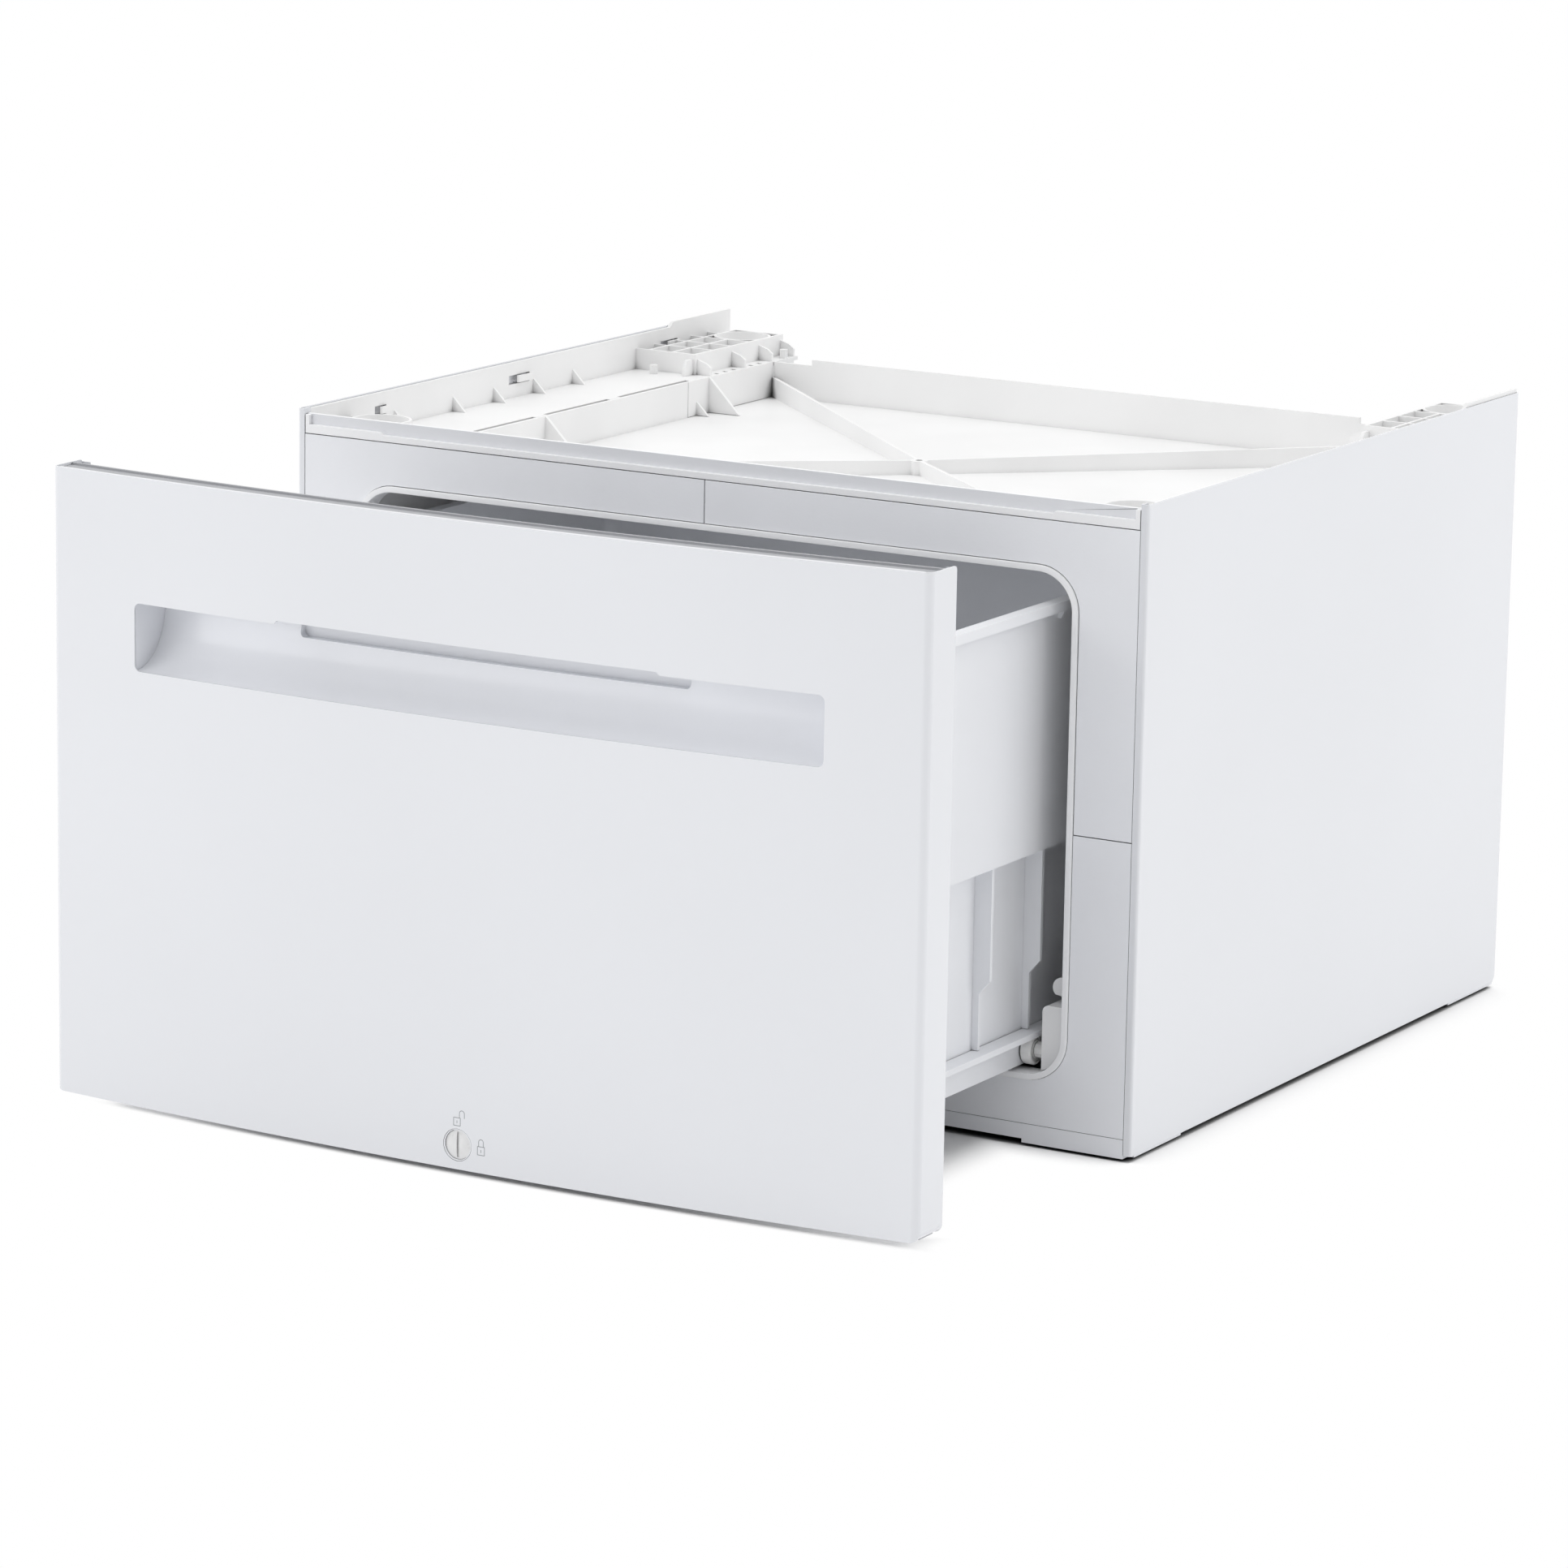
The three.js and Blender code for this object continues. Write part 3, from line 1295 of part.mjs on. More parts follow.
// Web under the rim, where the rim slides past the trim.
function rimGusset() {
  const root = tubHalf - wall / 2;
  const tip = tubHalf + rimReach - rimWall / 2;
  const rimUnder = tubTop - rimHeight;
  const shape = outline([
    [root, tubTop - rimWall / 2], [root, rimUnder - rimGussetDrop],
    [tubHalf + wall, rimUnder - rimGussetDrop], [tip, rimUnder], [tip, tubTop - rimWall / 2],
  ]);
  return alongY(shape, [rimGussetY - wall / 2, rimGussetY + wall / 2]);
}

function tubRib(y) {
  const root = tubLowerHalf - wall / 2;
  const tip = tubLowerHalf + tubRibReach;
  const foot = tubLowerHalf + tubRibFoot;
  const bottom = runnerTop + fit;
  const shape = outline([
    [root, bottom], [foot, bottom], [foot, tubRibTaperTop - tubRibTaper], [tip, tubRibTaperTop],
    [tip, tubStepHeight + wall / 2], [root, tubStepHeight + wall / 2],
  ]);
  return alongY(shape, [y - wall / 2, y + wall / 2]);
}

function drawerTub() {
  const ribs = [];
  for (let i = 0; i < tubRibCount; i += 1) {
    ribs.push(tubRib(tubRibFirst + i * tubRibPitch));
  }
  const shell = join(tubStack(0, 0), tubRim(), both(join(rimGusset(), ...ribs)));
  return cut(shell, tubStack(wall, wall), ...frontScrewHoles([tubFront - PAST, tubFront + wall + PAST]));
}

function runner() {
  const lipOuter = runnerLipInner + runnerLipWall;
  const section = outline([
    [webInner, runnerBottom], [webOuter, runnerBottom],
    [webOuter, runnerUnder], [runnerLipInner, runnerUnder],
    [runnerLipInner, runnerTop - runnerLip], [lipOuter, runnerTop - runnerLip], [lipOuter, runnerTop],
    [webInner, runnerTop],
  ]);
  const through = rod(axleRadius + turnFit, [webInner - PAST, webOuter + PAST]);
  const bore = turnedX(through, [0, rearAxleY, rearRollerZ], SMALL);
  return cut(alongY(section, [tubFront, runnerEnd]), bore);
}

// ---------- finishes ----------

function finish(color, roughness, metalness = 0) {
  return () => new THREE.MeshStandardMaterial({ color, roughness, metalness });
}

const glossWhite = finish(0xe9ebf0, 0.18);
const satinGrey = finish(0xd9dce0, 0.5);
const mouldedWhite = finish(0xf4f4f4, 0.45);
const tubGrey = finish(0xdfe1e5, 0.42);
const zinc = finish(0xb9bcc0, 0.35, 0.9);
const darkRubber = finish(0x2a2a2c, 0.9);
const rollerNylon = finish(0xeeeeea, 0.4);

// ---------- assembly ----------

function hang(parent, name, shape, material) {
  const geometry = shape.isBufferGeometry ? shape : geometryOf(shape);
  const mesh = new THREE.Mesh(geometry, material());
  mesh.name = name;
  parent.add(mesh);
  return mesh;
}

function hangPair(parent, name, solid, material) {
  const right = geometryOf(solid);
  hang(parent, `${name}_right`, right, material);
  hang(parent, `${name}_left`, mirrored(right), material);
}

const pedestal = new THREE.Group();
const cabinet = new THREE.Group();
const drawer = new THREE.Group();
const lock = new THREE.Group();
pedestal.add(cabinet, drawer);
drawer.add(lock);

hangPair(cabinet, 'side_panel', sidePanel(), glossWhite);
hang(cabinet, 'rear_panel', rearPanel(), satinGrey);
hang(cabinet, 'rear_crossmember', rearCrossmember(), zinc);
hang(cabinet, 'base_frame', baseFrame(), satinGrey);
hangPair(cabinet, 'side_module', sideModule(), mouldedWhite);
hang(cabinet, 'center_deck', centerDeck(), mouldedWhite);
hang(cabinet, 'front_top_rail', frontTopRail(), satinGrey);
hang(cabinet, 'front_cover_upper_left', upperCover(-1), satinGrey);
hang(cabinet, 'front_cover_upper_right', upperCover(1), satinGrey);
hang(cabinet, 'front_cover_lower', lowerCover(), satinGrey);
hang(cabinet, 'opening_trim', openingTrim(), satinGrey);
hangPair(cabinet, 'cabinet_rail', cabinetRail(), zinc);
hangPair(cabinet, 'roller_bracket', rollerBracket(), mouldedWhite);
hangPair(cabinet, 'front_axle', frontAxle(), zinc);
hangPair(cabinet, 'guide_nub', guideNub(), mouldedWhite);
hang(cabinet, 'lock_strike', lockStrike(), zinc);
for (const [name, x, y] of padPlaces) {
  hang(cabinet, `foot_pad_${name}`, footPad(), darkRubber).position.set(x, y, 0);
}
for (const [name, x, z] of rearScrewPlaces) {
  const head = turnedY(screw(rearPanelRear + fit, 1), [0, 0, 0], SMALL);
  hang(cabinet, `rear_screw_${name}`, head, zinc).position.set(x, 0, z);
}

hang(drawer, 'drawer_front_skin', drawerFrontSkin(), glossWhite);
hang(drawer, 'drawer_front_liner', drawerFrontLiner(), satinGrey);
hang(drawer, 'handle_scoop', handleScoop(), glossWhite);
hang(drawer, 'drawer_tub', drawerTub(), tubGrey);
hangPair(drawer, 'runner', runner(), tubGrey);
hangPair(drawer, 'rear_axle', rearAxle(), zinc);
hang(drawer, 'lock_bush', lockBush(), satinGrey);
for (const [name, x, z] of frontScrewPlaces) {
  const head = turnedY(screw(tubFront + wall + fit, 1), [0, 0, 0], SMALL);
  hang(drawer, `front_screw_${name}`, head, zinc).position.set(x, 0, z);
}

hang(lock, 'lock_knob', lockKnob(), glossWhite);
hang(lock, 'lock_shaft', lockShaft(), zinc);
hang(lock, 'lock_clip', lockClip(), zinc);
lock.position.set(lockX, 0, lockZ);

// Rollers: each is centred on its own axis and set on its axle, right and left.
const frontRoller = roller(rollerWidth, -1);
const rearRoller = roller(rearRollerWidth, 1);
for (const [name, side] of [['right', 1], ['left', -1]]) {
  const front = side > 0 ? frontRoller : mirrored(frontRoller);
  const rear = side > 0 ? rearRoller : mirrored(rearRoller);
  hang(cabinet, `front_roller_${name}`, front, rollerNylon)
    .position.set(side * rollerInner, frontAxleY, rollerZ);
  hang(drawer, `rear_roller_${name}`, rear, rollerNylon)
    .position.set(side * rearRollerInner, rearAxleY, rearRollerZ);
}

drawer.position.y = -drawerOut;

// The whole stands with its bounding box centred over the origin.
pedestal.position.y = -(cabinetDepth + faceY - drawerOut) / 2;

export default pedestal;
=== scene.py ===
# %% [markdown]
# # A washer pedestal drawer, dressed for a picture
# The object is a low cabinet that a washing machine stands on. A drawer with a bowed front
# rolls out of it. The imported model already holds every part at its true size and place, so
# this lesson only finishes surfaces, rounds edges and adds what is too small for that model.
# Loading the model first gives one shared frame in metres.

# %% Load the frame
import json
import math

import bmesh
import bpy
from mathutils import Matrix, Vector

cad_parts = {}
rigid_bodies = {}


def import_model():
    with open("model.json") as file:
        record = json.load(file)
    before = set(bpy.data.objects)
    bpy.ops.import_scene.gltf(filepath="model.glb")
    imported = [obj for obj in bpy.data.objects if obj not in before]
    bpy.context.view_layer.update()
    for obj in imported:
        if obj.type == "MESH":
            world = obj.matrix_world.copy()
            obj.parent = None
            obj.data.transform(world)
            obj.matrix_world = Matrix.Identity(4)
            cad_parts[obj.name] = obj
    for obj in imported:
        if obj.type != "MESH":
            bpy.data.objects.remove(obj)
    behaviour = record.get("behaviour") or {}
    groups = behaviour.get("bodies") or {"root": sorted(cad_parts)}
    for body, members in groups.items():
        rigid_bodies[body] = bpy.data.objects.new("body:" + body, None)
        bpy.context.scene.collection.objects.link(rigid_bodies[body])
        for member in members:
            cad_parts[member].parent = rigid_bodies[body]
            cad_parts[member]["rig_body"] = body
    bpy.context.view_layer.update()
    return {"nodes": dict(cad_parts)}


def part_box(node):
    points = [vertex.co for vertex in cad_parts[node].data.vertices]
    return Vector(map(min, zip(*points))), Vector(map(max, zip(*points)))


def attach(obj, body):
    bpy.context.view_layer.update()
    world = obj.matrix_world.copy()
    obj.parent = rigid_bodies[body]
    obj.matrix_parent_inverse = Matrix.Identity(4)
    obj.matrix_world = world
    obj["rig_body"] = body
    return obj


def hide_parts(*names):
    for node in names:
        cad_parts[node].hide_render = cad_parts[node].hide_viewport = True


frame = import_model()
nodes = frame["nodes"]

# %% [markdown]
# ## The camera
# The photograph is taken from the front right and a little above, from several metres away,
# with a long lens that keeps the uprights almost parallel. Its place was solved from corners
# whose places on the object are known. A camera looks along its own minus Z, so the turn is
# built from three plain turns: round the vertical, down from the horizon, and a hair of roll.

# %% Camera
CAMERA_PLACE = (2.0061, -3.4634, 1.0472)
CAMERA_YAW = 0.5284  # radians, as are the pitch and the roll
CAMERA_PITCH = 0.2157
CAMERA_ROLL = 0.0172
FRAME_PIXELS = 1932  # width and height of the photograph
FOCAL_PIXELS = 8070.2
SENSOR_WIDTH = 36.0  # millimetres
FAR_LIMIT = 60.0

camera_data = bpy.data.cameras.new("photo camera")
camera_data.sensor_width = SENSOR_WIDTH
camera_data.lens = SENSOR_WIDTH * FOCAL_PIXELS / FRAME_PIXELS
camera_data.clip_end = FAR_LIMIT
camera = bpy.data.objects.new("photo camera", camera_data)
turn = (
    Matrix.Rotation(CAMERA_YAW, 4, "Z")
    @ Matrix.Rotation(math.pi / 2 - CAMERA_PITCH, 4, "X")
    @ Matrix.Rotation(CAMERA_ROLL, 4, "Z")
)
camera.matrix_world = Matrix.Translation(CAMERA_PLACE) @ turn
bpy.context.scene.collection.objects.link(camera)
bpy.context.scene.camera = camera
print("lens", round(camera_data.lens, 1), "mm")

# %% [markdown]
# ## Shared surface effects
# Painted sheet, moulded plastic and zinc each show a pattern far smaller than the part.
# Several finishes use the same effect at different sizes, so each effect is a node group,
# built once, with its sizes as inputs. A group here only puts out heights and masks; the
# shader that uses them stays in the material. All of them read object coordinates in
# metres, so the grain keeps its true size on every piece.

# %% A helper for node groups
def new_group(name, inputs, outputs):
    group = bpy.data.node_groups.new(name, "ShaderNodeTree")
    for label, kind, value in inputs:
        socket = group.interface.new_socket(label, in_out="INPUT", socket_type=kind)
        if value is not None:
            socket.default_value = value
    for label in outputs:
        group.interface.new_socket(label, in_out="OUTPUT", socket_type="NodeSocketFloat")
    enter = group.nodes.new("NodeGroupInput")
    leave = group.nodes.new("NodeGroupOutput")
    return group, enter, leave


def feed(tree, sockets, values):
    for socket, value in zip(sockets, values):
        if isinstance(value, bpy.types.NodeSocket):
            tree.links.new(value, socket)
        else:
            socket.default_value = value


def math_node(tree, operation, *values):
    made = tree.nodes.new("ShaderNodeMath")
    made.operation = operation
    feed(tree, made.inputs, values)
    return made.outputs[0]


def map_range(tree, value, start, end, low=0.0, high=1.0, smooth=False):
    made = tree.nodes.new("ShaderNodeMapRange")
    made.interpolation_type = "SMOOTHSTEP" if smooth else "LINEAR"
    feed(tree, made.inputs, (value, start, end, low, high))
    return made.outputs["Result"]


def noise_node(tree, vector, scale, detail):
    made = tree.nodes.new("ShaderNodeTexNoise")
    made.inputs["Detail"].default_value = detail
    tree.links.new(vector, made.inputs["Vector"])
    tree.links.new(scale, made.inputs["Scale"])
    return made.outputs["Fac"]


# %% Mould grain: the fine spark-eroded texture of a plastic mould
GRAIN_NOISE = 0.6  # share of plain noise that breaks up the cells


def make_mould_grain():
    group, enter, leave = new_group(
        "Mould grain",
        [("Vector", "NodeSocketVector", None), ("Width", "NodeSocketFloat", 0.0006)],
        ["Height"],
    )
    scale = math_node(group, "DIVIDE", 1.0, enter.outputs["Width"])
    cells = group.nodes.new("ShaderNodeTexVoronoi")
    cells.feature = "SMOOTH_F1"
    group.links.new(enter.outputs["Vector"], cells.inputs["Vector"])
    group.links.new(scale, cells.inputs["Scale"])
    rough = noise_node(group, enter.outputs["Vector"], scale, detail=3.0)
    rough = math_node(group, "MULTIPLY", rough, GRAIN_NOISE)
    height = math_node(group, "ADD", cells.outputs["Distance"], rough)
    group.links.new(height, leave.inputs["Height"])
    return group


# %% Batch mottling: the slow drift of tone and gloss over a big surface
DRIFT = (0.35, 0.65)  # the part of the noise that is stretched from the low to the high tone


def make_batch_mottling():
    group, enter, leave = new_group(
        "Batch mottling",
        [("Vector", "NodeSocketVector", None), ("Patch width", "NodeSocketFloat", 0.2),
         ("Low", "NodeSocketFloat", 0.0), ("High", "NodeSocketFloat", 1.0)],
        ["Tone"],
    )
    scale = math_node(group, "DIVIDE", 1.0, enter.outputs["Patch width"])
    slow = noise_node(group, enter.outputs["Vector"], scale, detail=2.0)
    tone = map_range(group, slow, *DRIFT, enter.outputs["Low"], enter.outputs["High"])
    group.links.new(tone, leave.inputs["Tone"])
    return group


# %% Sheet peel: the faint orange peel of sprayed paint
FINE_RIPPLES = 5.0  # how many fine ripples lie in a wide one
FINE_RIPPLE_SHARE = 0.25


def make_sheet_peel():
    group, enter, leave = new_group(
        "Sheet peel",
        [("Vector", "NodeSocketVector", None), ("Width", "NodeSocketFloat", 0.003)],
        ["Height"],
    )
    scale = math_node(group, "DIVIDE", 1.0, enter.outputs["Width"])
    ripple = noise_node(group, enter.outputs["Vector"], scale, detail=1.0)
    fine_scale = math_node(group, "MULTIPLY", scale, FINE_RIPPLES)
    fine = noise_node(group, enter.outputs["Vector"], fine_scale, detail=1.0)
    fine = math_node(group, "MULTIPLY", fine, FINE_RIPPLE_SHARE)
    group.links.new(math_node(group, "ADD", ripple, fine), leave.inputs["Height"])
    return group


# %% Zinc spangle: the flat crystals of galvanised sheet
CRYSTAL_RIDGES = 12.0  # fine ridges of the relief in one crystal


def make_zinc_spangle():
    group, enter, leave = new_group(
        "Zinc spangle",
        [("Vector", "NodeSocketVector", None), ("Width", "NodeSocketFloat", 0.012)],
        ["Crystal", "Height"],
    )
    scale = math_node(group, "DIVIDE", 1.0, enter.outputs["Width"])
    cells = group.nodes.new("ShaderNodeTexVoronoi")
    group.links.new(enter.outputs["Vector"], cells.inputs["Vector"])
    group.links.new(scale, cells.inputs["Scale"])
    split = group.nodes.new("ShaderNodeSeparateColor")
    group.links.new(cells.outputs["Color"], split.inputs["Color"])
    group.links.new(split.outputs["Red"], leave.inputs["Crystal"])
    ridge_scale = math_node(group, "MULTIPLY", scale, CRYSTAL_RIDGES)
    ridges = noise_node(group, enter.outputs["Vector"], ridge_scale, detail=4.0)
    group.links.new(ridges, leave.inputs["Height"])
    return group


# %% Seam shade: painted shade, a darker colour where two pieces nearly meet
SEAM_OPEN = (0.12, 0.42)  # how open the surroundings are where the shade is full and where it ends
SEAM_DARKEST = 0.1
SEAM_SAMPLES = 6


def make_seam_shade():
    group, enter, leave = new_group("Seam shade", [("Reach", "NodeSocketFloat", 0.003)], ["Shade"])
    sky = group.nodes.new("ShaderNodeAmbientOcclusion")
    sky.samples = SEAM_SAMPLES
    group.links.new(enter.outputs["Reach"], sky.inputs["Distance"])
    shade = map_range(group, sky.outputs["AO"], *SEAM_OPEN, SEAM_DARKEST)
    group.links.new(shade, leave.inputs["Shade"])
    return group


painted_seam_shade = make_seam_shade()
mould_grain = make_mould_grain()
batch_mottling = make_batch_mottling()
sheet_peel = make_sheet_peel()
zinc_spangle = make_zinc_spangle()
print("groups", [g.name for g in bpy.data.node_groups])

# %% [markdown]
# ## Finishes
# One function builds a finish: object coordinates go into the mottling group, which moves
# the base colour and the roughness a little, and into a relief group, whose height feeds a
# bump node. The seam shade is painted shade: it darkens the colour where another surface is
# close by. Colours are written as screen values, as a paint card gives them, and turned into
# the linear values that a shader wants.

# %% A helper for finishes
def linear(screen):
    return tuple(c / 12.92 if c <= 0.04045 else ((c + 0.055) / 1.055) ** 2.4 for c in screen) + (1.0,)


MIX_INPUTS = (0, 6, 7)  # the factor and the two colours, of a Mix node that mixes colours
MIX_OUTPUT = 2
GLOSS_DRIFT = 0.1  # share by which the roughness drifts with the tone


def use_group(tree, group, **values):
    made = tree.nodes.new("ShaderNodeGroup")
    made.node_tree = group
    for label, value in values.items():
        feed(tree, [made.inputs[label.replace("_", " ")]], [value])
    return made


def mix_colours(tree, factor, first, second, blend="MIX"):
    made = tree.nodes.new("ShaderNodeMix")
    made.data_type = "RGBA"
    made.blend_type = blend
    feed(tree, [made.inputs[i] for i in MIX_INPUTS], (factor, first, second))
    return made.outputs[MIX_OUTPUT]


def finish(name, screen, rough, relief, relief_width, relief_depth, spread=0.02, patch=0.2,
           seam_reach=0.003, **shader_values):
    material = bpy.data.materials.new(name)
    material.use_nodes = True
    tree = material.node_tree
    shader = tree.nodes["Principled BSDF"]
    place = tree.nodes.new("ShaderNodeTexCoord").outputs["Object"]
    for label, value in shader_values.items():
        shader.inputs[label.replace("_", " ")].default_value = value

    tone = use_group(tree, batch_mottling, Vector=place, Patch_width=patch).outputs["Tone"]
    dark = linear([c * (1 - spread) for c in screen])
    light = linear([min(1.0, c * (1 + spread / 2)) for c in screen])
    tint = mix_colours(tree, tone, dark, light)
    # painted shade: the colour is darkened where another surface is close by
    shade = use_group(tree, painted_seam_shade, Reach=seam_reach).outputs["Shade"]
    shaded = mix_colours(tree, 1.0, tint, shade, "MULTIPLY")
    tree.links.new(shaded, shader.inputs["Base Color"])
    gloss = map_range(tree, tone, 0.0, 1.0, rough * (1 - GLOSS_DRIFT), rough * (1 + GLOSS_DRIFT))
    tree.links.new(gloss, shader.inputs["Roughness"])

    surface = use_group(tree, relief, Vector=place, Width=relief_width)
    surface.name = "relief"
    bump = tree.nodes.new("ShaderNodeBump")
    bump.inputs["Strength"].default_value = 1.0
    bump.inputs["Distance"].default_value = relief_depth
    tree.links.new(surface.outputs["Height"], bump.inputs["Height"])
    tree.links.new(bump.outputs["Normal"], shader.inputs["Normal"])
    return material


# %% [markdown]
# ### Painted sheet and plastics
# The outer sheets are steel painted a cool white under a clear coat. The front covers and
# the base are a grey-white plastic with a fine grain. The trim and the top rail's lip get a
# lighter copy of that plastic, as painted light for the light they catch from the right, and
# the rail's set-back band a darker copy, as painted shade. The parts under the washer are a
# plain white, and the drawer tub is a slightly greyer, smoother plastic. A finish states its
# colour, its roughness, then the width and the depth of its relief in metres.

# %% Paint and plastic finishes
PEEL, GRAIN = sheet_peel, mould_grain
white_paint = finish("white paint", (0.920, 0.926, 0.942), 0.24, PEEL, 0.0035, 0.00001,
                     spread=0.006, patch=0.3, Coat_Weight=0.35, Coat_Roughness=0.08)
scoop_gloss = finish("scoop gloss", (0.945, 0.951, 0.967), 0.2, PEEL, 0.006, 0.00001,
                     spread=0.008, patch=0.15, Coat_Weight=0.2, Coat_Roughness=0.1)
grey_grain = finish("grey grained plastic", (0.962, 0.967, 0.982), 0.5, GRAIN, 0.0012, 0.00004,
                    spread=0.01, patch=0.12)
# its painted seam shade reaches further, into slots and deep corners
white_satin = finish("white moulded plastic", (0.962, 0.962, 0.962), 0.45, GRAIN, 0.0012, 0.000012,
                     spread=0.012, patch=0.08, seam_reach=0.009)
# painted light: a lighter copy of the grained plastic, for the light the trim and the rail's lip catch
lip_white_painted_light = finish("trim plastic", (0.988, 0.990, 0.996), 0.42, GRAIN, 0.0012, 0.00003,
                   spread=0.006, patch=0.12)
# painted shade: a darker copy of the rail's grained plastic, for its set-back band
band_grey_painted_shade = finish("set-back band", (0.915, 0.920, 0.935), 0.5, GRAIN, 0.0012, 0.00004,
                   spread=0.01, patch=0.12)
liner_grey = finish("liner plastic", (0.68, 0.685, 0.70), 0.5, GRAIN, 0.001, 0.00002,
                    spread=0.01, patch=0.12, seam_reach=0.0006)
tub_satin = finish("tub plastic", (0.942, 0.947, 0.960), 0.38, GRAIN, 0.0009, 0.00001,
                   spread=0.012, patch=0.15)
nylon_white = finish("roller nylon", (0.965, 0.965, 0.96), 0.35, GRAIN, 0.0008, 0.000012,
                     spread=0.02, patch=0.02)
knob_satin = finish("knob plastic", (0.925, 0.925, 0.925), 0.3, GRAIN, 0.0009, 0.000006,
                    spread=0.02, patch=0.01)
pad_rubber = finish("pad rubber", (0.2, 0.2, 0.21), 0.75, GRAIN, 0.0007, 0.00006,
                    spread=0.2, patch=0.01)
print("plastics ready")

# %% [markdown]
# ### Zinc plated sheet
# The rear panel, the rails and the screws are plated steel. Galvanised sheet shows flat
# crystals, each reflecting a little differently. The crystal number of a cell pattern
# changes the tone and the roughness from cell to cell, and keeps the metal from looking
# like grey paint.

# %% Zinc finish
ZINC_DARK = (0.775, 0.783, 0.798)
ZINC_LIGHT = (0.815, 0.822, 0.834)
ZINC_RELIEF = 0.000008
DULL, BRIGHT = 1.25, 0.8  # roughness of the dullest and the brightest crystal, times the mean


def make_zinc(name, crystal_width, rough):
    material = finish(name, ZINC_DARK, rough, zinc_spangle, crystal_width, ZINC_RELIEF, Metallic=1.0)
    tree = material.node_tree
    shader = tree.nodes["Principled BSDF"]
    crystal = tree.nodes["relief"].outputs["Crystal"]
    tone = mix_colours(tree, crystal, linear(ZINC_DARK), linear(ZINC_LIGHT))
    tree.links.new(tone, shader.inputs["Base Color"])
    gloss = map_range(tree, crystal, 0.0, 1.0, rough * BRIGHT, rough * DULL)
    tree.links.new(gloss, shader.inputs["Roughness"])
    return material


zinc_sheet = make_zinc("zinc sheet", 0.0055, 0.38)
zinc_small = make_zinc("zinc plated steel", 0.0016, 0.3)
print("zinc ready")

# %% [markdown]
# ## Dressing the frame's own nodes
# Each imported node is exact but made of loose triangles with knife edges, and real sheet and
# mouldings have small radii that catch the light. A copy of the node is merged, its
# triangles are paired where they are flat, a bevel rounds the sharp edges, and the copy
# stands for the node. Its normals are weighted by face area, so the big flats stay flat.

# %% A helper that rounds a copy of a node
def link_piece(name, mesh):
    piece = bpy.data.objects.new(name, mesh)
    bpy.context.scene.collection.objects.link(piece)
    return piece


def settle(piece):
    deps = bpy.context.evaluated_depsgraph_get()
    mesh = bpy.data.meshes.new_from_object(piece.evaluated_get(deps), preserve_all_data_layers=True,
                                           depsgraph=deps)
    piece.modifiers.clear()
    old = piece.data
    piece.data = mesh
    bpy.data.meshes.remove(old)


SAME_POINT = 0.000002  # points closer than this are one
FLAT = math.radians(0.4)  # triangles that turn less than this between them become one face
CREASE = math.radians(35)  # an edge that turns more than this is sharp, and is rounded
BEND_STEPS = 2
FLAT_LEAD = 80  # how strongly big faces rule the normals, 50 being not at all


def dress(node_name, material, radius):
    mesh = bpy.data.meshes.new(node_name + "_dressed")
    bm = bmesh.new()
    bm.from_mesh(nodes[node_name].data)
    bmesh.ops.remove_doubles(bm, verts=bm.verts, dist=SAME_POINT)
    bmesh.ops.join_triangles(bm, faces=bm.faces[:], angle_face_threshold=FLAT,
                             angle_shape_threshold=math.pi)
    bm.to_mesh(mesh)
    bm.free()
    mesh.shade_smooth()
    mesh.set_sharp_from_angle(angle=CREASE)
    mesh.materials.clear()
    mesh.materials.append(material)
    piece = link_piece(node_name + "_dressed", mesh)
    bevel = piece.modifiers.new("round", "BEVEL")
    bevel.width = radius
    bevel.segments = BEND_STEPS
    bevel.limit_method = "ANGLE"
    bevel.angle_limit = CREASE
    bevel.use_clamp_overlap = True
    weigh = piece.modifiers.new("flat faces lead", "WEIGHTED_NORMAL")
    weigh.mode = "FACE_AREA"
    weigh.weight = FLAT_LEAD
    settle(piece)
    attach(piece, nodes[node_name]["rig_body"])
    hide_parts(node_name)
    return piece


# %% [markdown]
# The table below says which finish and what edge radius each piece has, in metres. Sheet and
# mouldings have a third to half a millimetre, small pins and clips less, and the tub, whose
# edges are the softest, a little more. Pairs are named once and dressed on both sides.

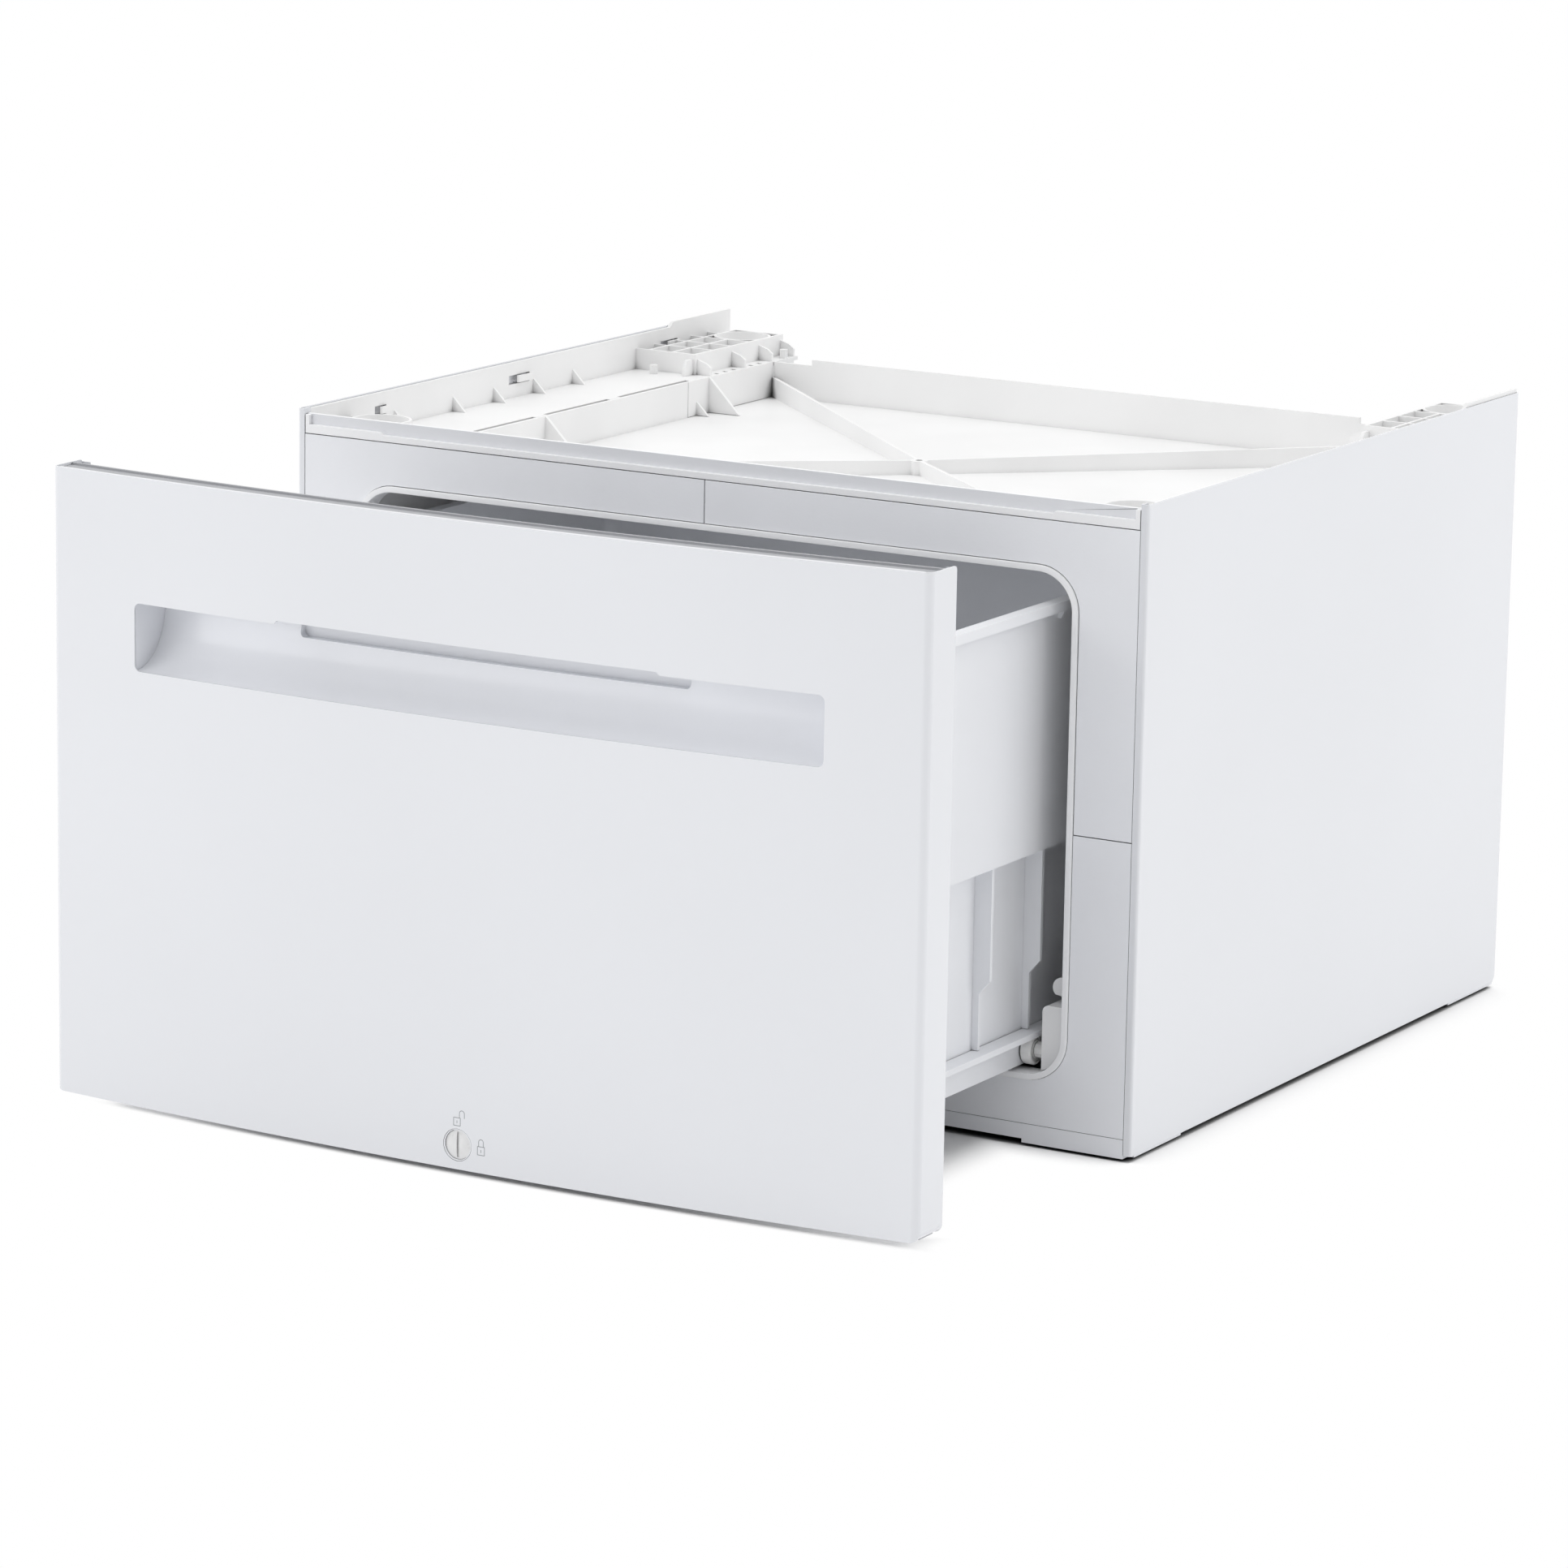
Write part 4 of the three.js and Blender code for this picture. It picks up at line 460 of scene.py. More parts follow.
# %% Finish and edge radius of each node
SINGLE = ("",)
SIDES = ("_left", "_right")
CORNERS = ("_front_left", "_front_right", "_rear_left", "_rear_right")
looks = {
    "side_panel": (white_paint, 0.0004, SIDES), "rear_panel": (zinc_sheet, 0.0003, SINGLE),
    "rear_crossmember": (zinc_sheet, 0.0003, SINGLE), "base_frame": (grey_grain, 0.0005, SINGLE),
    "side_module": (white_satin, 0.0003, SIDES), "center_deck": (white_satin, 0.0004, SINGLE),
    "front_top_rail": (lip_white_painted_light, 0.0005, SINGLE), "front_cover_upper": (grey_grain, 0.0004, SIDES),
    "front_cover_lower": (grey_grain, 0.0004, SINGLE),
    "cabinet_rail": (zinc_small, 0.0002, SIDES), "roller_bracket": (white_satin, 0.0004, SIDES),
    "front_axle": (nylon_white, 0.0002, SIDES), "guide_nub": (white_satin, 0.0005, SIDES),
    "lock_strike": (zinc_small, 0.0002, SINGLE),
    "foot_pad": (pad_rubber, 0.0005, CORNERS),
    "lock_knob": (knob_satin, 0.0004, SINGLE), "lock_shaft": (zinc_small, 0.0002, SINGLE),
    "lock_clip": (zinc_small, 0.0002, SINGLE), "lock_bush": (grey_grain, 0.0002, SINGLE),
    "drawer_front_skin": (white_paint, 0.0003, SINGLE), "drawer_front_liner": (liner_grey, 0.0004, SINGLE),
    "handle_scoop": (scoop_gloss, 0.0003, SINGLE), "drawer_tub": (tub_satin, 0.0006, SINGLE),
    "runner": (tub_satin, 0.0004, SIDES), "rear_axle": (zinc_small, 0.0002, SIDES),
}
dressed = {}
for stem, (material, radius, ends) in looks.items():
    for end in ends:
        dressed[stem + end] = dress(stem + end, material, radius)
print("dressed", len(dressed), "of", len(nodes),
      "triangles", sum(len(p.vertices) - 2 for d in dressed.values() for p in d.data.polygons))

# %% [markdown]
# ## Shapes that follow a rule, by Geometry Nodes
# The frame round the drawer's mouth, the rollers and the screws each follow a plain rule: one
# section taken round a path, a profile turned round an axis, one screw put at many places.
# A node tree states such a rule once, with its sizes as named inputs, and serves every copy.
# The result of a tree is made a plain mesh before it rides on a body.

# %% Helpers for geometry trees
QUARTER = math.pi / 2
HAIR = 1e-6  # radius of the path of a turned part, and the distance within which points are one


def new_tree(name, inputs):
    tree = bpy.data.node_groups.new(name, "GeometryNodeTree")
    tree.interface.new_socket("Start", in_out="INPUT", socket_type="NodeSocketGeometry")
    for label, kind in inputs:
        tree.interface.new_socket(label, in_out="INPUT", socket_type=kind)
    tree.interface.new_socket("Finish", in_out="INPUT", socket_type="NodeSocketMaterial")
    tree.interface.new_socket("Result", in_out="OUTPUT", socket_type="NodeSocketGeometry")
    return tree, tree.nodes.new("NodeGroupInput"), tree.nodes.new("NodeGroupOutput")


def node(tree, kind, links=(), **settings):
    made = tree.nodes.new("GeometryNode" + kind)
    for label, value in settings.items():
        setattr(made, label, value)
    for label, value in dict(links).items():
        feed(tree, [made.inputs[label]], [value])
    return made


def close_tree(tree, geometry, enter, leave):
    real = node(tree, "RealizeInstances", {"Geometry": geometry})
    smooth = node(tree, "SetShadeSmooth", {"Geometry": real.outputs[0]})
    finished = node(tree, "SetMaterial", {"Geometry": smooth.outputs[0],
                                          "Material": enter.outputs["Finish"]})
    tree.links.new(finished.outputs[0], leave.inputs["Result"])


def mesh_of(name, points, edges=()):
    mesh = bpy.data.meshes.new(name)
    mesh.from_pydata(points, edges, [])
    return mesh


def outline(name, points):
    return mesh_of(name, points, [(i, (i + 1) % len(points)) for i in range(len(points))])


def middle_of(low, high):
    return tuple((a + b) / 2 for a, b in zip(low, high))


def run_tree(name, tree, start, values):
    piece = link_piece(name, start)
    modifier = piece.modifiers.new("rule", "NODES")
    modifier.node_group = tree
    names = {item.name: item.identifier for item in tree.interface.items_tree if item.in_out == "INPUT"}
    for label, value in values.items():
        modifier[names[label]] = value
    settle(piece)
    bm = bmesh.new()
    bm.from_mesh(piece.data)
    bmesh.ops.remove_doubles(bm, verts=bm.verts, dist=HAIR)
    bmesh.ops.recalc_face_normals(bm, faces=bm.faces)
    bm.to_mesh(piece.data)
    bm.free()
    piece.data.set_sharp_from_angle(angle=CREASE)
    print(name, "faces", len(piece.data.polygons))
    return piece


def adopt(piece, body, slot, *replaced):
    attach(piece, body)
    if replaced:
        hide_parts(*replaced)


# %% [markdown]
# ### Opening trim
# A slim plastic frame lines the mouth that the drawer runs through. It is one section, with
# a rounded lip in front, taken round a rectangle with round corners. The tree takes that
# section as its start and sweeps it round the path.

# %% Tree: a section round a rounded rectangle
def make_frame_tree():
    tree, enter, leave = new_tree("Section round an opening", [
        ("Width", "NodeSocketFloat"), ("Height", "NodeSocketFloat"), ("Corner", "NodeSocketFloat"),
        ("Corner Steps", "NodeSocketInt"), ("Centre", "NodeSocketVector"),
    ])
    sizes = enter.outputs
    path = node(tree, "CurvePrimitiveQuadrilateral", {"Width": sizes["Width"], "Height": sizes["Height"]})
    rounded = node(tree, "FilletCurve", {"Curve": path.outputs[0], "Radius": sizes["Corner"],
                                         "Count": sizes["Corner Steps"]}, mode="POLY")
    level = node(tree, "SetCurveNormal", {"Curve": rounded.outputs[0]}, mode="Z_UP")
    section = node(tree, "MeshToCurve", {"Mesh": sizes["Start"]})
    swept = node(tree, "CurveToMesh", {"Curve": level.outputs[0], "Profile Curve": section.outputs[0]})
    upright = node(tree, "Transform", {"Geometry": swept.outputs[0], "Translation": sizes["Centre"],
                                       "Rotation": (QUARTER, 0, 0)})
    close_tree(tree, upright.outputs[0], enter, leave)
    return tree


# %% The trim
TRIM_BAND = 0.0037  # width of the section, seen from the front
TRIM_CORNER = 0.027  # outer radius of the frame's corners
TRIM_CORNER_STEPS = 20
TRIM_LIP = 0.0015  # radius of the section's front edges
TRIM_REAR_EDGE = 0.0004
QUARTER_STEPS = 4


def round_corner(centre, radius, start):
    angles = [start + QUARTER * i / QUARTER_STEPS for i in range(QUARTER_STEPS + 1)]
    return [(centre[0] + radius * math.cos(a), centre[1] + radius * math.sin(a), 0) for a in angles]


def trim_section(depth):
    half_band, half_depth = TRIM_BAND / 2, depth / 2
    lip, rear = TRIM_LIP, TRIM_REAR_EDGE
    return (round_corner((half_band - lip, half_depth - lip), lip, 0)
            + round_corner((-half_band + lip, half_depth - lip), lip, QUARTER)
            + round_corner((-half_band + rear, -half_depth + rear), rear, 2 * QUARTER)
            + round_corner((half_band - rear, -half_depth + rear), rear, 3 * QUARTER))


low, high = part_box("opening_trim")
section = outline("trim section", trim_section(high[1] - low[1]))
trim = run_tree("opening_trim_dressed", make_frame_tree(), section, {
    "Width": high[0] - low[0] - TRIM_BAND, "Height": high[2] - low[2] - TRIM_BAND,
    "Corner": TRIM_CORNER - TRIM_BAND / 2, "Corner Steps": TRIM_CORNER_STEPS,
    "Centre": middle_of(low, high), "Finish": lip_white_painted_light,
})
adopt(trim, "cabinet", "grey_plastic", "opening_trim")

# %% [markdown]
# ### Rollers
# Four nylon rollers carry the drawer. A turned part is its profile swept round a very small
# circle, so one tree makes them all. The profile has a rounded tyre, a sunk web and a hub
# that stands round the bore, on both faces.

# %% Tree: a profile turned round the x axis
def make_turning_tree():
    tree, enter, leave = new_tree("Turned profile", [("Steps", "NodeSocketInt"),
                                                     ("Centre", "NodeSocketVector")])
    sizes = enter.outputs
    path = node(tree, "CurvePrimitiveCircle", {"Resolution": sizes["Steps"], "Radius": HAIR}, mode="RADIUS")
    level = node(tree, "SetCurveNormal", {"Curve": path.outputs[0]}, mode="Z_UP")
    section = node(tree, "MeshToCurve", {"Mesh": sizes["Start"]})
    turned = node(tree, "CurveToMesh", {"Curve": level.outputs[0], "Profile Curve": section.outputs[0]})
    along_x = node(tree, "Transform", {"Geometry": turned.outputs[0], "Translation": sizes["Centre"],
                                       "Rotation": (0, QUARTER, 0)})
    close_tree(tree, along_x.outputs[0], enter, leave)
    return tree


# %% The rollers
BORE = 0.0032  # radius of the hole for the axle
POCKET = 0.0047  # radius of the pocket for the axle's head
POCKET_DEPTH = 0.0017
HUB_WALL = 0.001  # thickness of the hub round the pocket
TYRE_WALL = 0.002
TYRE_EDGE = 0.0012  # radius of the tyre's edges
WEB_SINK = 0.0009  # how far the web lies below the hub and the tyre
ROLLER_STEPS = 48


def roller_profile(radius, width, head_side):
    hub, rim, half = POCKET + HUB_WALL, radius - TYRE_WALL, width / 2
    tread, sunk = radius - TYRE_EDGE, half - WEB_SINK
    outside = (
        [(hub, half, 0), (hub, sunk, 0), (rim, sunk, 0), (rim, half, 0)]
        + round_corner((tread, half - TYRE_EDGE), TYRE_EDGE, 0)[::-1]
        + round_corner((tread, -half + TYRE_EDGE), TYRE_EDGE, 3 * QUARTER)[::-1]
        + [(rim, -half, 0), (rim, -sunk, 0), (hub, -sunk, 0), (hub, -half, 0)]
    )
    floor = POCKET_DEPTH - half
    pocket = [(POCKET, -half, 0), (POCKET, floor, 0), (BORE, floor, 0), (BORE, half, 0)]
    return [(x, y * head_side, z) for x, y, z in outside + pocket]


turning_tree = make_turning_tree()
for stem, head_turn in (("front_roller", -1), ("rear_roller", 1)):
    for end, side in (("_left", -1), ("_right", 1)):
        low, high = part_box(stem + end)
        profile = roller_profile((high[2] - low[2]) / 2, high[0] - low[0], head_turn * side)
        section = outline("roller profile", profile)
        piece = run_tree(stem + end + "_dressed", turning_tree, section, {
            "Steps": ROLLER_STEPS, "Centre": middle_of(low, high), "Finish": nylon_white,
        })
        adopt(piece, stem + end, "nylon", stem + end)

# %% [markdown]
# ### Screws
# Eight self-tapping screws have a low pan head with a crossed recess and a coarse thread. The
# tree builds one screw from its sizes: a curve for the head, turned round the axis, two bars
# cut away for the recess, and a spiral for the thread. It then puts the screw at each point
# of the start mesh, turned by the rotation that is given.

# %% Tree: one screw at each point
DOME_POINTS = 9
HEAD_SIDES = 32
SHANK_SIDES = 16
THREAD_SIDES = 3
THREAD_DEPTH = 0.3  # radius of the thread's section, in pitches
HEAD_WELD = 0.000005  # points of the head closer than this are one
SCREW_INPUTS = ("Head Radius", "Head Height", "Shank Radius", "Length", "Pitch",
                "Recess Width", "Recess Length", "Recess Depth")


def make_screw_tree():
    tree, enter, leave = new_tree("Pan head screws", [(label, "NodeSocketFloat") for label in SCREW_INPUTS]
                                  + [("Turn", "NodeSocketRotation")])
    sizes = enter.outputs

    def maths(operation, *values):
        return math_node(tree, operation, *values)

    def vector(*values):
        made = tree.nodes.new("ShaderNodeCombineXYZ")
        feed(tree, made.inputs, values)
        return made.outputs[0]

    def moved(part, *by):
        return node(tree, "Transform", {"Geometry": part.outputs[0], "Translation": vector(*by)})

    # Head: a quarter of an ellipse from its middle to its edge, turned round z.
    row = node(tree, "MeshLine", {"Count": DOME_POINTS})
    index = node(tree, "InputIndex").outputs[0]
    angle = maths("MULTIPLY", index, QUARTER / (DOME_POINTS - 1))
    out = maths("MULTIPLY", sizes["Head Radius"], maths("SINE", angle))
    up = maths("MULTIPLY", sizes["Head Height"], maths("COSINE", angle))
    dome = node(tree, "SetPosition", {"Geometry": row.outputs[0], "Position": vector(out, up, 0.0)})
    circle = node(tree, "CurvePrimitiveCircle", {"Resolution": HEAD_SIDES, "Radius": HAIR}, mode="RADIUS")
    level = node(tree, "SetCurveNormal", {"Curve": circle.outputs[0]}, mode="Z_UP")
    profile = node(tree, "MeshToCurve", {"Mesh": dome.outputs[0]})
    cap = node(tree, "CurveToMesh", {"Curve": level.outputs[0], "Profile Curve": profile.outputs[0]})
    seat = node(tree, "MeshCircle", {"Vertices": HEAD_SIDES, "Radius": sizes["Head Radius"]},
                fill_type="NGON")
    seated = node(tree, "JoinGeometry")
    for part in (cap, seat):
        tree.links.new(part.outputs[0], seated.inputs[0])
    head = node(tree, "MergeByDistance", {"Geometry": seated.outputs[0], "Distance": HEAD_WELD})

    # Recess: two crossed bars, cut away from the top of the head.
    depth = maths("MULTIPLY", sizes["Recess Depth"], 2.0)
    recess = node(tree, "MeshBoolean", operation="DIFFERENCE", solver="EXACT")
    tree.links.new(head.outputs[0], recess.inputs["Mesh 1"])
    for along, across in (("Recess Length", "Recess Width"), ("Recess Width", "Recess Length")):
        bar = node(tree, "MeshCube", {"Size": vector(sizes[along], sizes[across], depth)})
        raised = moved(bar, 0.0, 0.0, sizes["Head Height"])
        tree.links.new(raised.outputs[0], recess.inputs["Mesh 2"])

    # Shank and thread, from the seat downwards.
    length, shank_radius = sizes["Length"], sizes["Shank Radius"]
    shank = node(tree, "MeshCylinder", {"Vertices": SHANK_SIDES, "Radius": shank_radius, "Depth": length})
    spiral = node(tree, "CurveSpiral", {
        "Resolution": SHANK_SIDES, "Rotations": maths("DIVIDE", length, sizes["Pitch"]),
        "Start Radius": shank_radius, "End Radius": shank_radius, "Height": length,
    })
    edge = node(tree, "CurvePrimitiveCircle", {
        "Resolution": THREAD_SIDES, "Radius": maths("MULTIPLY", sizes["Pitch"], THREAD_DEPTH),
    }, mode="RADIUS")
    thread = node(tree, "CurveToMesh", {"Curve": spiral.outputs[0], "Profile Curve": edge.outputs[0],
                                        "Fill Caps": True})
    shank = moved(shank, 0.0, 0.0, maths("MULTIPLY", length, -0.5))
    thread = moved(thread, 0.0, 0.0, maths("MULTIPLY", length, -1.0))
    screw = node(tree, "JoinGeometry")
    for part in (recess, shank, thread):
        tree.links.new(part.outputs[0], screw.inputs[0])
    points = node(tree, "MeshToPoints", {"Mesh": sizes["Start"]})
    set_out = node(tree, "InstanceOnPoints", {"Points": points.outputs[0], "Instance": screw.outputs[0],
                                              "Rotation": sizes["Turn"]})
    close_tree(tree, set_out.outputs[0], enter, leave)
    return tree


# %% The screws
screw_tree = make_screw_tree()
SCREW_SIZES = {
    "Head Radius": 0.004, "Head Height": 0.0009, "Shank Radius": 0.0017, "Length": 0.0058,
    "Pitch": 0.0012, "Recess Width": 0.0009, "Recess Length": 0.0042, "Recess Depth": 0.0006,
    "Finish": zinc_small,
}
screw_sets = {
    "rear_screw": ("cabinet", ("_top_left", "_top_right", "_bottom_left", "_bottom_right")),
    "front_screw": ("drawer", ("_lower_left", "_lower_right", "_upper_left", "_upper_right")),
}
FACING_REAR = (-QUARTER, 0.0, 0.0)
for stem, (body, ends) in screw_sets.items():
    names = [stem + end for end in ends]
    seats = []
    for name in names:
        low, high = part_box(name)
        x, _, z = middle_of(low, high)
        seats.append((x, high[1] - SCREW_SIZES["Head Height"], z))
    values = {**SCREW_SIZES, "Turn": FACING_REAR}
    piece = run_tree(stem + "s_dressed", screw_tree, mesh_of(stem, seats), values)
    adopt(piece, body, "zinc_sheet", *names)

# %% [markdown]
# ## Small corrections on the dressed copies
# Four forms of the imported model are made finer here. The flanges of the drawer's front end in
# nearly square corners. The liner closes the top of the front with a band just below the
# steel, not with a deep channel. The small web under the tub's rim is short. The middle line
# of the front's face goes back by a hair, to leave room for ink. Each is a plain move of the
# copy's vertices, found by where they are.

# %% Move the vertices of a copy
def move_vertices(name, rule):
    moved = 0
    for vertex in dressed[name].data.vertices:
        place = rule(vertex.co)
        if place is not None:
            vertex.co = place
            moved += 1
    dressed[name].data.update()
    print(name, "moved", moved)


# %% Front skin: squarer corners on the side flanges, and room for ink
SKIN_CORNER = 0.008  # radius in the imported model
SKIN_CORNER_SHARP = 0.0022
ON_CORNER = 0.0001  # a point this little before the corner's start still belongs to it
CREST_DROP = 0.00004  # how far the face's middle line goes back
skin_low, skin_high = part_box("drawer_front_skin")


def squarer(co):
    along = co.y - (skin_high[1] - SKIN_CORNER)
    up = co.z - (skin_high[2] - SKIN_CORNER)
    if min(along, up) < -ON_CORNER:
        return None
    shrink = SKIN_CORNER_SHARP / SKIN_CORNER
    return Vector((co.x, skin_high[1] - SKIN_CORNER_SHARP + along * shrink,
                   skin_high[2] - SKIN_CORNER_SHARP + up * shrink))


def lowered_crest(co):
    if co.y >= skin_low[1] + CREST_DROP / 2:
        return None
    return Vector((co.x, co.y + CREST_DROP, co.z))


move_vertices("drawer_front_skin", squarer)
move_vertices("drawer_front_skin", lowered_crest)

# %% Liner and tub: raise the channel's floor and the web's tip
CHANNEL_DEPTH = 0.008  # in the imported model
CHANNEL_SHOWN = 0.0012
RIM_HEIGHT = 0.006
WEB_DROP = 0.009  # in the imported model
WEB_SHOWN = 0.005
LEVEL_PLAY = 0.0007  # a point this close to a level lies on it, bevel included


def raised(level, lift):
    def rule(co):
        if abs(co.z - level) > LEVEL_PLAY:
            return None
        return Vector((co.x, co.y, co.z + lift))
    return rule


liner_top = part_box("drawer_front_liner")[1][2]
tub_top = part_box("drawer_tub")[1][2]
move_vertices("drawer_front_liner", raised(liner_top - CHANNEL_DEPTH, CHANNEL_DEPTH - CHANNEL_SHOWN))
move_vertices("drawer_tub", raised(tub_top - RIM_HEIGHT - WEB_DROP, WEB_DROP - WEB_SHOWN))

# %% [markdown]
# ### Painted shade on the top rail's band
# The rail has a bright lip below and a band set back above it. The band gets a darker copy
# of the rail's plastic, as painted shade for its set-back. The faces of the band look forward
# and lie behind the lip's face, so they are found by their normal and their depth, and get a
# second material slot.

# %% Rail band: painted shade
BAND_SET_BACK = 0.0025  # behind the lip's face
BAND_PLAY = 0.0004  # how far a face of the band may lie from that depth
FACING_FORWARD = -0.7  # y of the normal
rail = dressed["front_top_rail"]
rail.data.materials.append(band_grey_painted_shade)
rail_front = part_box("front_top_rail")[0][1]
band_faces = 0
for face in rail.data.polygons:
    if face.normal.y < FACING_FORWARD and abs(face.center.y - rail_front - BAND_SET_BACK) < BAND_PLAY:
        face.material_index = 1
        band_faces += 1
print("band faces", band_faces)

# %% [markdown]
# ### Snap tongues in the side modules' windows
# Each window in the modules' outer walls holds a springy tongue of the side panel's clip. It
# starts at the rear end of its window, runs forward and stands slightly proud, so that a dark
# gap shows at its tip and under it. One function builds a tongue from its section in plan.

# %% Tongues
WINDOWS = ((0.080, 0.093), (0.237, 0.262), (0.427, 0.449))  # from the panels' front edge
WINDOW_SILL = 0.3807  # above the ground
WINDOW_HEIGHT = 0.006
WALL_INNER = 0.2952  # inner face of the outer wall, from the centre line
TONGUE_THICK = 0.0014
TONGUE_PROUD = 0.0026
TONGUE_GAP = 0.0010  # dark gap under the tongue
TONGUE_PLAY = 0.0004  # gap above it and behind it
TONGUE_EDGE = 0.00025
TIP_SHARE = 0.32  # of the window left open in front of the tongue
# Outline of the rounded tip in plan: how far each point is behind the tongue's face and its tip.
TIP_FACE = ((0.0012, 0.0), (0.0002, 0.0009), (0.0, 0.0024))
TIP_BACK = ((TONGUE_THICK, 0.0014), (0.0018, 0.0002))
panel_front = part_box("side_panel_left")[0][1]


def tongue(bm, side, start, end):
    tip, root = start + (end - start) * TIP_SHARE, end - TONGUE_PLAY
    face = WALL_INNER - TONGUE_PROUD
    plan = [(face + x, tip + y) for x, y in TIP_FACE]
    plan += [(face, root), (face + TONGUE_THICK, root)]
    plan += [(face + x, tip + y) for x, y in TIP_BACK]
    levels = [WINDOW_SILL + TONGUE_GAP, WINDOW_SILL + WINDOW_HEIGHT - TONGUE_PLAY]
    rings = [[bm.verts.new((side * x, panel_front + y, z)) for x, y in plan] for z in levels]
    for i in range(len(plan)):
        j = (i + 1) % len(plan)
        bm.faces.new((rings[0][i], rings[0][j], rings[1][j], rings[1][i]))
    bm.faces.new(rings[0])
    bm.faces.new(rings[1])


bm = bmesh.new()
for side in (-1, 1):
    for start, end in WINDOWS:
        tongue(bm, side, start, end)
bmesh.ops.recalc_face_normals(bm, faces=bm.faces)
tongue_mesh = bpy.data.meshes.new("snap_tongues")
bm.to_mesh(tongue_mesh)
bm.free()
tongue_mesh.materials.append(white_satin)
tongues = link_piece("snap_tongues", tongue_mesh)
round_edges = tongues.modifiers.new("round", "BEVEL")
round_edges.width = TONGUE_EDGE
round_edges.segments = BEND_STEPS
settle(tongues)
adopt(tongues, "cabinet", "white_plastic")
print("tongues", 2 * len(WINDOWS))

# %% [markdown]
# ### Marks beside the lock
# Two small pictures are pad-printed on the steel beside the knob: an open padlock above it and
# a closed one at its right. Each is made of thin lines of ink, so each line is a flat ribbon
# that follows the face, two hundredths of a millimetre in front of it. A ray cast on the
# face gives the depth of each point.

# %% Padlock marks
INK_WIDTH = 0.00042
INK_LIFT = 0.00002  # distance from the face
INK_STEP = 0.0008  # longest flat piece of a ribbon
ARCH_STEPS = 10
KEYHOLE = (0.3, 0.65)  # lower and upper end, as shares of the lock's height
RAY_START = skin_low[1] - 0.01
skin = dressed["drawer_front_skin"]
bpy.context.view_layer.update()


def on_face(x, z):
    place = skin.ray_cast((x, RAY_START, z), (0, 1, 0))[1]
    return (x, place.y - INK_LIFT, z)


def short_steps(points):
    steps = [points[0]]
    for start, end in zip(points, points[1:]):
        count = math.ceil(math.dist(start, end) / INK_STEP)
        steps += [[a + (b - a) * i / count for a, b in zip(start, end)] for i in range(1, count + 1)]
    return steps


def ribbon(bm, corners):
    points = short_steps(corners)
    rows = []
    for i, (x, z) in enumerate(points):
        before, after = points[max(i - 1, 0)], points[min(i + 1, len(points) - 1)]
        run = Vector((after[0] - before[0], after[1] - before[1])).normalized()
        aside = Vector((-run.y, run.x)) * INK_WIDTH / 2
        rows.append([bm.verts.new(on_face(x + s * aside.x, z + s * aside.y)) for s in (-1, 1)])
    for one, two in zip(rows, rows[1:]):
        bm.faces.new((one[0], two[0], two[1], one[1]))


def padlock(bm, left, bottom, width, height, shackle_left, shackle_width, shackle_height):
    right, top = left + width, bottom + height
    for start, end in (((left, bottom), (right, bottom)), ((left, top), (right, top)),
                       ((left, bottom), (left, top)), ((right, bottom), (right, top))):
        ribbon(bm, [start, end])
    radius = shackle_width / 2
    centre = shackle_left + radius
    spring = top + shackle_height - radius
    turns = [math.pi * i / ARCH_STEPS for i in range(ARCH_STEPS + 1)]
    arch = [(centre - radius * math.cos(a), spring + radius * math.sin(a)) for a in turns]
    ribbon(bm, [(centre - radius, top), *arch, (centre + radius, top)])
    hole = left + width / 2
    ribbon(bm, [(hole, bottom + height * share) for share in KEYHOLE])


ink = finish("printed mark", (0.58, 0.59, 0.61), 0.5, PEEL, 0.003, 0.000005, patch=0.01)
bm = bmesh.new()
padlock(bm, left=-0.0026, bottom=0.0392, width=0.0046, height=0.0048,
        shackle_left=0.0014, shackle_width=0.0034, shackle_height=0.0045)
padlock(bm, left=0.0139, bottom=0.0239, width=0.0048, height=0.0050,
        shackle_left=0.0147, shackle_width=0.0032, shackle_height=0.0043)
bmesh.ops.recalc_face_normals(bm, faces=bm.faces)
for face in bm.faces:
    if face.normal.y > 0:
        face.normal_flip()
marks_mesh = bpy.data.meshes.new("lock_marks")
bm.to_mesh(marks_mesh)
bm.free()
marks_mesh.materials.append(ink)
marks = link_piece("lock_marks", marks_mesh)
adopt(marks, "drawer", "grey_plastic")
print("marks faces", len(marks_mesh.polygons))

# %% [markdown]
# ## Floor, light and backdrop
# The picture is a cut-out on white, with soft shade close to the object. The floor mixes a
# plain white, which the camera sees, with a lit white that holds the shade; the lit one's
# colour is also painted darker where the object closes the sky over it, as painted shade. The
# lit one shows under the cabinet, close round it, and under the drawer that hangs out over the
# floor. Before the drawer's face the floor stays plain, apart from the shade seen just under
# the face's lower edge, which makes a thin dark line there.

# %% Where the floor holds shade
FLOOR_HALF = 9.0
SHADOW_REACH = 0.05  # how far the floor looks for the object's shadow close round it
SHADOW_OPEN = (0.4, 0.8)  # how open the sky is where the lit floor shows fully, and not at all
# painted shade: the lit floor's colour is painted black where the sky is closed, and white where it is open
UNDER_OPEN = (0.05, 0.5)  # how open it is where the lit floor is black, and white
DRAWER_REACH = 0.25  # how far up the floor looks for the drawer
DRAWER_OPEN = (0.45, 0.9)  # the same limits for that longer look
DRAWER_SHADE = (0.190, 0.235)  # from the centre line, where the drawer's shade fades out
FACE_BOW = 3.15  # radius of the drawer's bowed face
FACE_LINE = 0.008  # width of the shade that shows under the face's lower edge
FACE_END = (0.262, 0.290)  # from the centre line, where that line fades out
PAST_LINE = (1, 4)  # where the shade narrows from the line's width to the drawer's, in line widths
base_low, base_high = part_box("base_frame")  # inside this outline the floor is always the lit one
